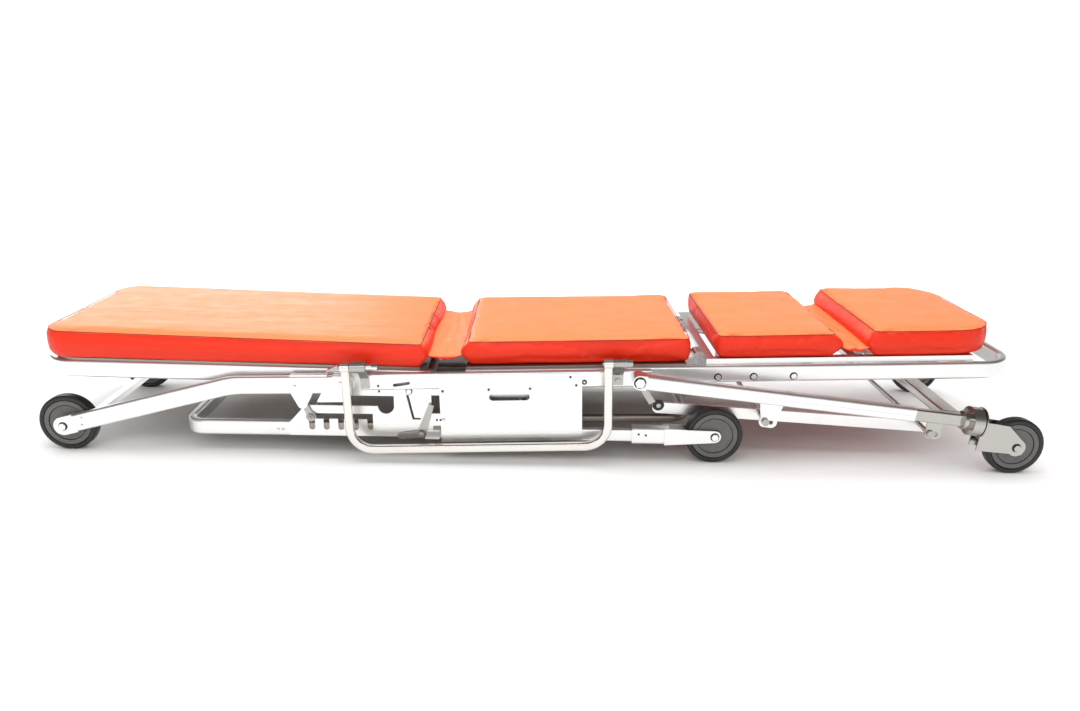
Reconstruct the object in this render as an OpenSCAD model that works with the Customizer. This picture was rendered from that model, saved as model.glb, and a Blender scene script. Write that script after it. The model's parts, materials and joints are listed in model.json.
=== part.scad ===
// Folding ambulance stretcher, folded low, with its backrest flat and its guard rails hanging.
// +X points to the foot end, -Y is the near side, +Z is up, and the floor is at Z = 0.
// Widths across the bed are half widths from the middle plane to a face.

/* [Bed] */
// Rise of the seat and foot half toward the foot, in degrees
bed_rake = 1.8; // [0.5:0.1:2.6]
// Rise of the backrest toward the head, in degrees
back_rake = 0.8; // [0.2:0.1:1.4]
// Height of the rail centre line at mid length
rail_level = 177.5; // [174:0.5:184]
// Head end of the backrest loop
head_x = -1036; // [-1060:1:-1000]
// Foot end of the main frame
foot_x = 1000; // [980:1:1030]
// Half width over the main frame
frame_half = 200; // [190:1:215]

/* [Rails] */
// Height of a frame rail
rail_h = 36; // [30:0.5:38]
// Thickness of a frame rail across the bed
rail_w = 15; // [12:0.5:18]
// Wall of the rails, bars and legs
tube_wall = 2; // [1.5:0.1:3]
// Edge radius of the rails
rail_edge = 5; // [3:0.5:6.5]
// Corner radius of the backrest loop
head_corner = 75; // [60:1:95]
// Corner radius of the main frame at the foot
foot_corner = 80; // [60:1:95]
// Head end of the outer seat rails
seat_rail_x0 = -364; // [-368:1:-330]
// Foot end of the outer seat rails
seat_rail_x1 = 232; // [225:1:260]

/* [Side plates] */
// Thickness of the notched side plates
plate_t = 4; // [3:0.5:5]
// Bottom of the lower side bars
lower_z = 37; // [33:0.5:42]
// Height of the lower side bars
lower_h = 33; // [28:0.5:36]
// Head end of the lower U frame
lower_x = -747; // [-760:1:-730]
// Pitch of the height notches
notch_pitch = 30.5; // [26:0.5:31]
// Width of a height notch
notch_w = 12.5; // [12.2:0.1:14]
// Number of height notches
notch_count = 5; // [3:1:5]
// Thickness of the cover panels
panel_t = 2; // [1.5:0.1:2.5]
// Length of the hand slot
slot_l = 84; // [70:1:110]
// Height of the hand slot
slot_h = 15; // [12:0.5:24]

/* [Backrest hinge] */
// Place of the backrest hinge along the bed
hinge_x = -228; // [-232:0.5:-224]
// Height of the backrest hinge
hinge_z = 173; // [170:0.5:174]
// Radius of the backrest hinge tube
hinge_r = 10; // [8:0.5:11]

/* [Pads] */
// Half width of the backrest pad
back_pad_half = 203; // [195:1:203.5]
// Half width of the seat and leg pads
seat_pad_half = 190; // [180:1:195]
// Thickness of the backrest pad at its edge
back_pad_t = 52; // [45:1:54]
// Thickness of the seat pad at its edge
seat_pad_t = 52; // [45:1:58]
// Thickness of the calf pad at its edge
calf_pad_t = 50; // [42:1:56]
// Thickness of the foot pad at its edge
foot_pad_t = 55; // [42:1:60]
// Rise of a pad's crown above its edge
pad_crown = 5; // [2:0.5:9]
// How far a pad's sides draw in at the bottom and at the top seam
pad_tuck = 4; // [2:0.5:8]

/* [Front legs] */
// Place of the front leg pivots along the bed
front_pivot_x = -404; // [-408:1:-400]
// Height of the front leg pivots
front_pivot_z = 160; // [158:0.5:162]
// Height of the front leg tube
front_leg_h = 38; // [32:0.5:40]
// Thickness of the front leg tube
front_leg_w = 16; // [12:0.5:17]
// Length of the front leg from its pivot to its bend
front_flat_l = 228; // [200:1:250]
// Slope of the flat part, in degrees
front_flat_slope = 1.4; // [0.5:0.1:2]

/* [Rear legs] */
// Place of the rear leg pivots along the bed
rear_pivot_x = 205; // [200:1:210]
// Height of the rear leg pivots
rear_pivot_z = 187; // [184:0.5:190]
// Height of the rear leg tube
rear_leg_h = 30; // [26:0.5:32]
// Thickness of the rear leg tube
rear_leg_w = 22; // [18:0.5:24]
// Length of the rear leg's outer tube
rear_tube_l = 570; // [540:1:600]
// Distance from the rear pivot to the swivel face
swivel_l = 708; // [690:1:716]
// Slope of the folded rear legs, in degrees
rear_slope = 6.2; // [5.8:0.1:6.4]
// Height of the lock bars
lock_bar_h = 24; // [18:0.5:26]
// Travel of the lock bars
lock_travel = 12; // [8:1:16]

/* [Wheels] */
// Wheel radius
wheel_r = 60; // [58:0.5:61]
// Wheel width
wheel_w = 24.5; // [22:0.5:25]
// Radius of the rim inside the tyre
rim_r = 48.5; // [44:0.5:51]
// Wheel axle radius
axle_r = 5; // [4:0.25:7]
// Distance from the middle plane to the front and rear wheel axles
wheelbase_x = 987; // [980:1:992]
// Place of the middle wheels along the bed
mid_wheel_x = 371; // [365:1:374]
// Thickness of the fork plates
fork_t = 2.6; // [2:0.1:3]

/* [Guard rails] */
// Distance from the middle plane to the guard rail's centre line
guard_half = 246; // [243:0.5:255]
// Height of the guard hinge above the rail centre line
guard_hinge_w = 42; // [38:0.5:48]
// Drop of the guard rail from its hinge to its bottom rail
guard_drop = 179; // [150:1:182]
// Width of the guard tube
guard_tube_w = 18; // [14:0.5:19]
// Thickness of the guard tube
guard_tube_t = 14; // [10:0.5:15]
// Bend radius of the guard tube's centre line
guard_bend = 48; // [35:1:60]
// Place of the head side guard arm
guard_x0 = -388; // [-392:1:-386]
// Place of the foot side guard arm
guard_x1 = 142; // [135:1:145]
// Hinge pin radius of the guard rails
guard_pin_r = 4.5; // [3.5:0.25:5.5]

/* [Clearances] */
// Radial running clearance of pins and axles
run_gap = 0.06; // [0.02:0.01:0.1]
// Side clearance between moving parts
side_gap = 1.5; // [1:0.1:2]

/* [Hidden] */
$fn = 48;
eps = 0.01;

metal = "silver";
bright = "gainsboro";
vinyl = "orangered";
rubber = "dimgray";

// Faces across the bed, from the inside out
main_in = frame_half - rail_w;
plate_out = frame_half + plate_t;
seat_rail_out = plate_out + rail_w;
panel_out = seat_rail_out + panel_t;
back_out = frame_half - side_gap - 0.5;
front_leg_in = plate_out + side_gap;
front_leg_out = front_leg_in + front_leg_w;
mid_wheel_y = plate_out + rail_w / 2;
fork_nut_t = 4;
mid_fork_out = mid_wheel_y + wheel_w / 2 + side_gap + fork_t;
mid_fork_in = mid_wheel_y - wheel_w / 2 - side_gap - fork_t;
rear_leg_in = mid_fork_out + fork_nut_t + 1;
rear_leg_out = rear_leg_in + rear_leg_w;
rear_leg_y = (rear_leg_in + rear_leg_out) / 2;
front_wheel_y = front_leg_in - side_gap - wheel_w / 2;

// Levels above the rail centre line
rail_top = rail_h / 2;
seat_deck_t = 5;
leg_deck_h = 12;
seat_deck_top = rail_top + seat_deck_t;
leg_deck_top = rail_top + 0.3 + leg_deck_h;

// Stations along the bed, measured from the middle
main_x0 = -150;
seat_pad_x0 = -145;
seat_pad_x1 = 317;
calf_pad_x0 = 371;
calf_pad_x1 = 616;
foot_pad_x0 = 694;
foot_pad_x1 = 959;
back_pad_x0 = head_x + 5;
back_pad_x1 = -240;
// How far the joined ends of the pads are drawn out to the webs, at half their thickness
back_nose = 10;
seat_nose = 16;
calf_nose = 21;
foot_nose = 13;
leg_hinge_x = 340;
leg_hinge_w = rail_top + 6;
leg_hinge_r = 4;
leg_deck_x1 = 905;

// Straight and rounded sections

// A section with round edges: w across, h high
module bar_section(w, h, edge) {
    square([w - 2 * edge, h], center = true);
    square([w, h - 2 * edge], center = true);
    for (sx = [-1, 1], sy = [-1, 1])
        translate([sx * (w / 2 - edge), sy * (h / 2 - edge)]) circle(r = edge);
}

module tube_section(w, h, edge, wall) {
    difference() {
        bar_section(w, h, edge);
        bar_section(w - 2 * wall, h - 2 * wall, max(edge - wall, 0.5));
    }
}

// Sweeps a section along +X from x0 to x1
module along_x(x0, x1, y, z) {
    translate([x0, y, z]) rotate([90, 0, 90]) linear_extrude(x1 - x0) children();
}

// Sweeps a section along the width, centred on the middle plane
module across(x, z, half) {
    translate([x, half, z]) rotate([90, 0, 0]) linear_extrude(2 * half) children();
}

module rod_across(x, z, half, r) {
    across(x, z, half) circle(r = r);
}

// Extrudes a side outline, drawn in X and Z, between two half widths on the near side
module slab(y0, y1) {
    translate([0, -y0, 0]) rotate([90, 0, 0]) linear_extrude(y1 - y0) children();
}

module pin_out(x, z, y0, y1, r) {
    translate([x, -y0, z]) rotate([90, 0, 0]) cylinder(h = y1 - y0, r = r);
}

// Hexagon bolt head lying on the face at half width y
module bolt_head(x, z, y, across_flats = 10, t = 4) {
    translate([x, -y, z]) rotate([90, 0, 0]) cylinder(h = t, r = across_flats / 2 / cos(30), $fn = 6);
}

// Rivet head on the face at half width y
module rivet(x, z, y, r = 3) {
    translate([x, -y, z]) rotate([90, 0, 0]) cylinder(h = 0.6 * r, r1 = 1.15 * r, r2 = 0.7 * r);
}

module far_side(far) {
    if (far) mirror([0, 1, 0]) children();
    else children();
}

// The seat and foot half, raked up toward the foot
module on_bed() {
    translate([0, 0, rail_level]) rotate([0, -bed_rake, 0]) children();
}

// The backrest, drawn from its hinge toward -X
module on_back() {
    translate([hinge_x, 0, hinge_z]) rotate([0, back_rake, 0]) children();
}

// A folded front leg, drawn from its pivot toward -X
module on_front_leg() {
    translate([front_pivot_x, 0, front_pivot_z]) rotate([0, -front_flat_slope, 0]) children();
}

// A folded rear leg, drawn from its pivot toward +X
module on_rear_leg() {
    translate([rear_pivot_x, 0, rear_pivot_z]) rotate([0, rear_slope, 0]) children();
}

// Height of the rail centre line at a station of the bed
function bed_z(x) = rail_level + x * tan(bed_rake);

// A flat U loop with round corners, from x0 to its end at x1, solid inside the given section size
module loop_solid(x0, x1, half, corner, w, h, edge) {
    bend = corner - w / 2;
    side_y = half - w / 2;
    reach = x1 - corner;
    for (s = [-1, 1]) {
        translate([0, s * side_y, 0]) along_x(x0, reach, 0, 0) bar_section(w, h, edge);
        translate([reach, s * (side_y - bend), 0]) rotate([0, 0, s > 0 ? 0 : -90])
            rotate_extrude(angle = 90) translate([bend, 0]) bar_section(w, h, edge);
    }
    translate([x1 - w / 2, side_y - bend, 0]) rotate([90, 0, 0])
        linear_extrude(2 * (side_y - bend)) bar_section(w, h, edge);
}

module loop_tube(x0, x1, half, corner, w, h, edge, wall) {
    difference() {
        loop_solid(x0, x1, half, corner, w, h, edge);
        loop_solid(x0 - eps, x1 - wall, half - wall, corner - wall, w - 2 * wall, h - 2 * wall,
            max(edge - wall, 0.5));
    }
}

// Main frame, seat rails and seat deck

deck_bar_w = 24;
knuckle_y = 120;
knuckle_t = 14;
knuckle_r = 6;
deck_bar_h = 12;
rest_bar_x = [560, 880];

frame_bolt_x = [373, 447, 530];
frame_bolt_w = -5.5;

// Knuckle and pin that the leg rest's ears turn on
module leg_hinge_knuckle(y) {
    base_w = rail_top - deck_bar_h;
    translate([leg_hinge_x - knuckle_r - 2, y, (leg_hinge_w + base_w) / 2])
        cube([2 * knuckle_r + 4, knuckle_t, leg_hinge_w - base_w], center = true);
    translate([leg_hinge_x, y, leg_hinge_w]) rotate([90, 0, 0]) {
        cylinder(h = knuckle_t, r = knuckle_r, center = true);
        cylinder(h = 3 * knuckle_t, r = leg_hinge_r, center = true);
    }
}

module main_frame() {
    color(bright) on_bed() {
        difference() {
            union() {
                loop_tube(main_x0, foot_x, frame_half, foot_corner, rail_w, rail_h, rail_edge, tube_wall);
                for (s = [-1, 1]) rear_pivot_boss(s);
            }
            rod_across(rear_u, rear_w, frame_half + 1, pivot_tube_r + run_gap);
        }
        for (x = concat([leg_hinge_x - knuckle_r - deck_bar_w / 2], rest_bar_x))
            translate([x, 0, rail_top - deck_bar_h / 2])
                cube([deck_bar_w, 2 * main_in, deck_bar_h], center = true);
        for (s = [-1, 1]) leg_hinge_knuckle(s * knuckle_y);
        for (side = [0, 1], x = frame_bolt_x)
            mirror([0, side, 0]) bolt_head(x, frame_bolt_w, frame_half, 11, 3.5);
    }
}

// Rear pivot in the bed's own frame
rear_dx = rear_pivot_x;
rear_dz = rear_pivot_z - rail_level;
rear_u = rear_dx * cos(bed_rake) + rear_dz * sin(bed_rake);
rear_w = -rear_dx * sin(bed_rake) + rear_dz * cos(bed_rake);
pivot_tube_r = 10;

// Solid plug inside the rail where the rear pivot tube passes
pivot_plug_l = 34;

module rear_pivot_boss(s) {
    translate([rear_u, s * (frame_half - rail_w / 2), 0])
        cube([pivot_plug_l, rail_w - 2 * tube_wall, rail_h - 2 * tube_wall], center = true);
}

seat_rivets = [[95, -6], [-329, -8]];

module seat_rail(far) {
    color(bright) far_side(far) on_bed() {
        y = plate_out + rail_w / 2;
        difference() {
            union() {
                along_x(seat_rail_x0, seat_rail_x1, -y, 0)
                    tube_section(rail_w, rail_h, rail_edge, tube_wall);
                translate([rear_u, -y, 0])
                    cube([pivot_plug_l, rail_w - 2 * tube_wall, rail_h - 2 * tube_wall], center = true);
            }
            pin_out(rear_u, rear_w, plate_out - 1, seat_rail_out + 1, pivot_tube_r + run_gap);
            // Slanted oval slot through the outer wall
            slab(seat_rail_out - tube_wall - 0.5, seat_rail_out + 1) translate([-281, -5]) slot_2d(36, 7, 8);
        }
        for (p = seat_rivets) rivet(p[0], p[1], seat_rail_out, 2.5);
    }
}

module seat_deck() {
    color(metal) on_bed() difference() {
        translate([main_x0 + 2, -frame_half + 4, rail_top])
            cube([leg_hinge_x - knuckle_r - deck_bar_w - 4 - main_x0, 2 * frame_half - 8, seat_deck_t]);
        for (i = [0:3], s = [-1, 1]) translate([main_x0 + 75 + i * 100, s * 85, rail_top - 1])
            linear_extrude(seat_deck_t + 2) slot_2d(60, 22, 90);
    }
}

module slot_2d(l, w, turn = 0) {
    rotate(turn) {
        square([l - w, w], center = true);
        for (s = [-1, 1]) translate([s * (l - w) / 2, 0]) circle(d = w);
    }
}

// Notched side plates, cover panels and the lower frame

notch_run_z = 85;
notch_run_h = 12.5;
notch_floor_z = 54;
notch_x0 = -473.5;
rod_r = 5.9;
arm_x0 = -522;
arm_top_z = 109;
cutout_z = 132;
plate_x1 = 82;
window_x0 = -275;
window_top = 135;
window_foot = 80;
window_sill = 94;

module side_plate_outline() {
    difference() {
        polygon([
            [arm_x0, lower_z + 4], [arm_x0, lower_z + lower_h - 2], [arm_x0 + 29, arm_top_z - 9],
            [arm_x0 + 39, arm_top_z], [-300, arm_top_z], [-300, cutout_z], [front_pivot_x - 28, cutout_z],
            [front_pivot_x - 28, front_pivot_z], [front_pivot_x - 16, front_pivot_z + 22],
            [front_pivot_x + 12, front_pivot_z + 22], [seat_rail_x0, bed_z(seat_rail_x0) + 14],
            [plate_x1, bed_z(plate_x1) + 14], [plate_x1, lower_z + 4]
        ]);
        translate([-317, arm_top_z]) circle(r = 17);
        translate([notch_x0 - notch_run_h / 2, notch_run_z - notch_run_h / 2])
            square([notch_pitch * (notch_count - 1) + notch_run_h, notch_run_h]);
        for (i = [0:notch_count - 1]) translate([notch_x0 + i * notch_pitch, 0]) {
            translate([0, notch_floor_z + notch_w / 2]) circle(d = notch_w);
            translate([-notch_w / 2, notch_floor_z + notch_w / 2])
                square([notch_w, notch_run_z - notch_floor_z - notch_w / 2]);
        }
        // Bent slot, and the window beside it
        polygon([
            [window_x0, window_top], [window_x0 + 13, window_foot], [window_x0 + 30, window_foot],
            [window_x0 + 30, window_foot + 4], [window_x0 + 17, window_foot + 4], [window_x0 + 6, window_top]
        ]);
        translate([-222, window_sill]) square([72, window_top - window_sill]);
        translate([-219, 56]) square([69, 11]);
        translate([-60, 110]) slot_2d(110, 46);
        translate([hinge_x, hinge_z]) circle(r = hinge_r);
    }
}

module side_plate(far) {
    color(bright) far_side(far) {
        slab(frame_half, plate_out) side_plate_outline();
        rivet(-330, 142, plate_out, 2.5);
        bolt_head(-268, 143, plate_out, 10, 3.5);
        rivet(-211, 80, plate_out, 2);
        // Pad behind the release lever's foot
        slab(plate_out, plate_out + 2) translate([-236, lower_z]) square([30, 18]);
        pin_out(lever_x, lever_z, plate_out - 1, plate_out + 8, lever_pin_r);
        // Front leg pivot bolt, from the plate through the leg
        pin_out(front_pivot_x, front_pivot_z, frame_half, front_leg_out + 4.5, front_pin_r);
        bolt_head(front_pivot_x, front_pivot_z, front_leg_out + 4.5, 16, 5);
    }
}

panel_x0 = -204;
panel_x1 = 90;
panel_top_w = 14;
panel_bottom_w = -133;
panel_fold = 16;

module cover_panel(far) {
    color(bright) far_side(far) on_bed() {
        difference() {
            slab(seat_rail_out, panel_out) translate([panel_x0, panel_bottom_w])
                square([panel_x1 - panel_x0, panel_top_w - panel_bottom_w]);
            slab(seat_rail_out - 1, panel_out + 1) translate([-60, -36]) slot_2d(slot_l, slot_h);
        }
        // The folded lower strip, doubled back on itself
        slab(panel_out - eps, panel_out + panel_t) translate([panel_x0, panel_bottom_w])
            square([panel_x1 - panel_x0, panel_fold]);
        for (p = [[-197, -21], [-102, -19], [-17, -18], [78, -12], [66, 6]])
            rivet(p[0], p[1], panel_out);
        rivet(panel_x0 + 6, -84, panel_out);
    }
}

lower_bar_x1 = 60;
lower_edge = 6;

module lower_frame() {
    mid_z = lower_z + lower_h / 2;
    color(bright) translate([0, 0, mid_z]) mirror([1, 0, 0])
        loop_tube(-lower_bar_x1, -lower_x, frame_half, 42, rail_w + 1, lower_h, lower_edge, tube_wall);
    color(bright) for (s = [0, 1]) mirror([0, s, 0])
        for (x = [-547, -537]) rivet(x, mid_z - 2, frame_half);
}

// Forks of the middle wheels

fork_bar_h = 27;
sleeve_h = 35;
sleeve_x0 = 198;
sleeve_x1 = 276;

module fork_plate_outline() {
    end_r = 13;
    difference() {
        union() {
            polygon([
                [sleeve_x1 - 10, wheel_r - 20], [sleeve_x1 - 10, wheel_r + 16],
                [mid_wheel_x + 2, wheel_r + end_r], [mid_wheel_x + 2, wheel_r - end_r]
            ]);
            translate([mid_wheel_x, wheel_r]) circle(r = end_r);
        }
        translate([mid_wheel_x, wheel_r]) circle(r = axle_r);
    }
}

module wheel_fork(far) {
    bar_z = lower_z + lower_h / 2 + 3;
    color(bright) far_side(far) {
        along_x(-60, sleeve_x0 + 10, -mid_wheel_y, bar_z) tube_section(rail_w, fork_bar_h, 4, tube_wall);
        along_x(sleeve_x0, sleeve_x1, -mid_wheel_y, wheel_r - 2)
            tube_section(mid_fork_out - mid_fork_in - 2 * fork_t, sleeve_h, 5,
                (mid_fork_out - mid_fork_in - 2 * fork_t - rail_w) / 2);
        for (y = [mid_fork_in, mid_fork_out - fork_t]) slab(y, y + fork_t) fork_plate_outline();
        pin_out(mid_wheel_x, wheel_r, mid_fork_in - 2, mid_fork_out + 1, axle_r);
        bolt_head(mid_wheel_x, wheel_r, mid_fork_out, 13, fork_nut_t);
        for (p = [[212, 3], [227, 1]]) rivet(p[0], wheel_r + p[1], mid_fork_out - fork_t, 2.5);
    }
}

// Tubes across the chassis, and the chrome hoop between them

hoop_half = 160;
hoop_r = 9;
hoop_x1 = 330;
tube_a_x = -30;
tube_b_x = 45;

module cross_tubes() {
    bar_z = lower_z + lower_h / 2;
    lower_in = frame_half - rail_w - 1;
    color(metal) {
        rod_across(hinge_x, hinge_z, plate_out, hinge_r);
        rod_across(tube_a_x, bar_z, lower_in, 11);
        rod_across(tube_b_x, bar_z, lower_in, 11);
        // Round hoop that runs forward under the seat
        translate([0, 0, bar_z + 12]) rotate([0, -1.4, 0]) {
            for (s = [-1, 1]) {
                translate([tube_b_x, s * (hoop_half - hoop_r), 0]) rotate([0, 90, 0])
                    cylinder(h = hoop_x1 - 40 - tube_b_x, r = hoop_r);
                translate([hoop_x1 - 40, s * (hoop_half - hoop_r - 40 + hoop_r), 0])
                    rotate([0, 0, s > 0 ? 0 : -90])
                        rotate_extrude(angle = 90) translate([40 - hoop_r, 0]) circle(r = hoop_r);
            }
            translate([hoop_x1 - hoop_r, hoop_half - 40, 0]) rotate([90, 0, 0])
                cylinder(h = 2 * (hoop_half - 40), r = hoop_r);
        }
    }
}

// Pads with a crown, drawn-in sides and round plan corners

pad_steps = 5;

// One plan ring of a pad: inset all round, corner radii r0 and r1, and its ends drawn out by nose0 and nose1
function pad_ring(x0, x1, half, r0, r1, nose0, nose1, inset, z) = [
    for (c = [[1, 1], [0, 1], [0, -1], [1, -1]])
        let (
            r = max((c[0] == 1 ? r1 : r0) - inset, 2),
            cx = c[0] == 1 ? x1 + nose1 - inset - r : x0 - nose0 + inset + r,
            cy = c[1] * (half - inset - r),
            a0 = c[0] == 1 ? (c[1] == 1 ? 0 : 270) : (c[1] == 1 ? 90 : 180)
        )
        for (i = [0:pad_steps]) let (a = a0 + 90 * i / pad_steps) [cx + r * cos(a), cy + r * sin(a), z]
];

// Rings as [inset, height, share of the nose]: up the bulged side to the crisp top seam, then over the crown
module pad(x0, x1, half, z0, t, r0, r1, nose0 = 0, nose1 = 0) {
    seam_inset = 0.45 * pad_tuck;
    side = [
        [pad_tuck + 4, 0, 0], [pad_tuck, 2.5, 0.1], [0.3 * pad_tuck, 0.25 * t, 0.6], [0, 0.5 * t, 1],
        [0.1 * pad_tuck, 0.75 * t, 0.55], [seam_inset, 0.95 * t, 0.1], [seam_inset + 2.5, t, 0]
    ];
    reach = min(half, (x1 - x0) / 2) - pad_tuck - 12;
    crown = [
        for (f = [0.12, 0.3, 0.55, 0.8])
            [seam_inset + 2.5 + f * reach, t + pad_crown * sqrt(1 - (1 - f) * (1 - f)), 0]
    ];
    steps = concat(side, crown);
    n = 4 * (pad_steps + 1);
    m = len(steps);
    rings = [
        for (s = steps)
            pad_ring(x0, x1, half, r0, r1, nose0 * s[2], nose1 * s[2], s[0], z0 + s[1])
    ];
    poles = [[(x0 + x1) / 2, 0, z0], [(x0 + x1) / 2, 0, z0 + t + pad_crown]];
    walls = [
        for (k = [0:m - 2], i = [0:n - 1])
            let (j = (i + 1) % n, a = k * n, b = (k + 1) * n)
            each [[a + i, b + i, b + j], [a + i, b + j, a + j]]
    ];
    ends = [
        for (i = [0:n - 1])
            let (j = (i + 1) % n, top = (m - 1) * n)
            each [[m * n, i, j], [m * n + 1, top + j, top + i]]
    ];
    points = concat([for (r = rings) each r], poles);
    polyhedron(points = points, faces = concat(walls, ends), convexity = 4);
}

module seat_pad() {
    color(vinyl) on_bed() pad(seat_pad_x0, seat_pad_x1, seat_pad_half, seat_deck_top + pad_gap,
        seat_pad_t, 12, 14, nose0 = seat_nose);
}

pad_gap = 0.3;

// Soft sheet that joins two pads, sagging a little between them
module web(x0, x1, half, z, sag, t = 3) {
    rows = 6;
    top = [for (i = [0:rows]) [x0 + (x1 - x0) * i / rows, z - sag * sin(180 * i / rows)]];
    bottom = [for (i = [rows:-1:0]) [top[i][0], top[i][1] - t]];
    across(0, 0, half) polygon(concat(top, bottom));
}

// Backrest

back_drop = 4;
back_deck_t = 5;

module back_frame() {
    color(bright) on_back() difference() {
        union() {
            translate([0, 0, -back_drop]) mirror([1, 0, 0]) {
                loop_tube(-4, hinge_x - head_x, back_out, head_corner, rail_w, rail_h, rail_edge, tube_wall);
                for (x = [90, 330, 570]) translate([x, 0, rail_top - deck_bar_h / 2])
                    cube([deck_bar_w, 2 * (back_out - rail_w), deck_bar_h], center = true);
            }
            for (s = [-1, 1]) translate([0, s * (back_out - rail_w / 2), -back_drop / 2])
                rotate([90, 0, 0]) cylinder(h = rail_w, r = rail_top - back_drop / 2, center = true);
        }
        rod_across(0, 0, back_out + 1, hinge_r + run_gap);
    }
}

module back_deck() {
    deck_x0 = head_x - hinge_x + rail_w + 4;
    deck_half = back_out - 4;
    deck_corner = head_corner - 12;
    color(metal) on_back() translate([0, 0, rail_top - back_drop]) difference() {
        linear_extrude(back_deck_t) difference() {
            translate([deck_x0, -deck_half]) square([-18 - deck_x0, 2 * deck_half]);
            for (s = [-1, 1]) translate([deck_x0, s * deck_half]) difference() {
                square(2 * deck_corner, center = true);
                translate([deck_corner, -s * deck_corner]) circle(r = deck_corner);
            }
        }
        for (i = [0:5], s = [-1, 1]) translate([-90 - i * 120, s * 85, -1])
            linear_extrude(back_deck_t + 2) slot_2d(70, 22, 90);
    }
}

module back_pad() {
    color(vinyl) on_back()
        pad(back_pad_x0 - hinge_x, back_pad_x1 - hinge_x, back_pad_half,
            rail_top - back_drop + back_deck_t + pad_gap, back_pad_t, 52, 12, nose1 = back_nose);
}

web_z = 222;
web_sag = 4;

module back_web() {
    color(vinyl) web(back_pad_x1 + back_nose + 1, seat_pad_x0 - seat_nose - 1.5, seat_pad_half - 4,
        web_z, web_sag);
}

// Leg rest: its deck frame, two pads and their web

leg_deck_half = 188;
leg_bar_w = 18;

module leg_deck() {
    z0 = rail_top + 0.3;
    x0 = leg_hinge_x + 10;
    color(metal) on_bed() {
        for (s = [-1, 1]) translate([x0, s * (leg_deck_half - leg_bar_w / 2) - leg_bar_w / 2, z0])
            cube([leg_deck_x1 - x0, leg_bar_w, leg_deck_h]);
        for (x = [x0, 648, leg_deck_x1 - leg_bar_w]) translate([x, -leg_deck_half + 1, z0])
            cube([leg_bar_w, 2 * leg_deck_half - 2, leg_deck_h]);
        for (x = [450, 540, 760, 830]) translate([x, -leg_deck_half + 1, z0 + leg_deck_h - 3])
            cube([leg_bar_w, 2 * leg_deck_half - 2, 3]);
        // Ears that turn on the hinge pins
        for (s = [-1, 1], d = [-1, 1]) translate([0, s * knuckle_y + d * (knuckle_t + 1), 0]) difference() {
            union() {
                translate([leg_hinge_x, 0, leg_hinge_w]) rotate([90, 0, 0])
                    cylinder(h = knuckle_t - 1, r = knuckle_r - 0.4, center = true);
                translate([leg_hinge_x + 5.5, 0, leg_hinge_w])
                    cube([11, knuckle_t - 1, 2 * knuckle_r - 1], center = true);
            }
            translate([leg_hinge_x, 0, leg_hinge_w]) rotate([90, 0, 0])
                cylinder(h = knuckle_t + 1, r = leg_hinge_r + run_gap, center = true);
        }
    }
}

module calf_pad() {
    color(vinyl) on_bed() pad(calf_pad_x0, calf_pad_x1, seat_pad_half, leg_deck_top + pad_gap,
        calf_pad_t, 14, 12, nose1 = calf_nose);
}

module foot_pad() {
    color(vinyl) on_bed() pad(foot_pad_x0, foot_pad_x1, seat_pad_half, leg_deck_top + pad_gap,
        foot_pad_t, 12, 88, nose0 = foot_nose);
}

module leg_web() {
    color(vinyl) on_bed() web(calf_pad_x1 + calf_nose + 1, foot_pad_x0 - foot_nose - 1, seat_pad_half - 4,
        leg_deck_top + calf_pad_t / 2 + 3, web_sag);
}

// Front legs, bent down to their wheels

front_pin_r = 6;
front_bend_r = 150;
front_bend_x = -wheelbase_x - front_pivot_x + front_flat_l * cos(front_flat_slope);
front_bend_z = wheel_r - front_pivot_z + front_flat_l * sin(front_flat_slope);
front_slope = atan(front_bend_z / front_bend_x);
front_bend = front_slope - front_flat_slope;
front_trim = front_bend_r * tan(front_bend / 2);
front_slope_l = norm([front_bend_x, front_bend_z]);
front_edge = 5;
front_root_r = front_leg_h / 2 + 0.6;
front_end_r = 19.6;
front_skin = 0.4;

// Frame at the bend, turned to the sloping part
module on_front_slope() {
    translate([-front_flat_l, 0, 0]) rotate([0, -front_bend, 0]) children();
}

module front_leg_tubes() {
    y = -(front_leg_in + front_leg_w / 2);
    w = front_leg_w - 2 * front_skin;
    along_x(-front_flat_l + front_trim - 2, 0, y, 0) tube_section(w, front_leg_h, front_edge, tube_wall);
    on_front_slope() along_x(-front_slope_l + 22, -front_trim + 2, y, 0)
        tube_section(w, front_leg_h, front_edge, tube_wall);
    // The bend, a little swollen
    translate([-front_flat_l + front_trim, y, -front_bend_r]) rotate([90, 0, 0]) rotate([0, 0, 90])
        rotate_extrude(angle = front_bend) translate([front_bend_r, 0])
            bar_section(front_leg_h + front_skin, w + front_skin, front_edge);
}

lug_x = -84;
lug_z = -42;
lug_pin_r = 4;

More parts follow.
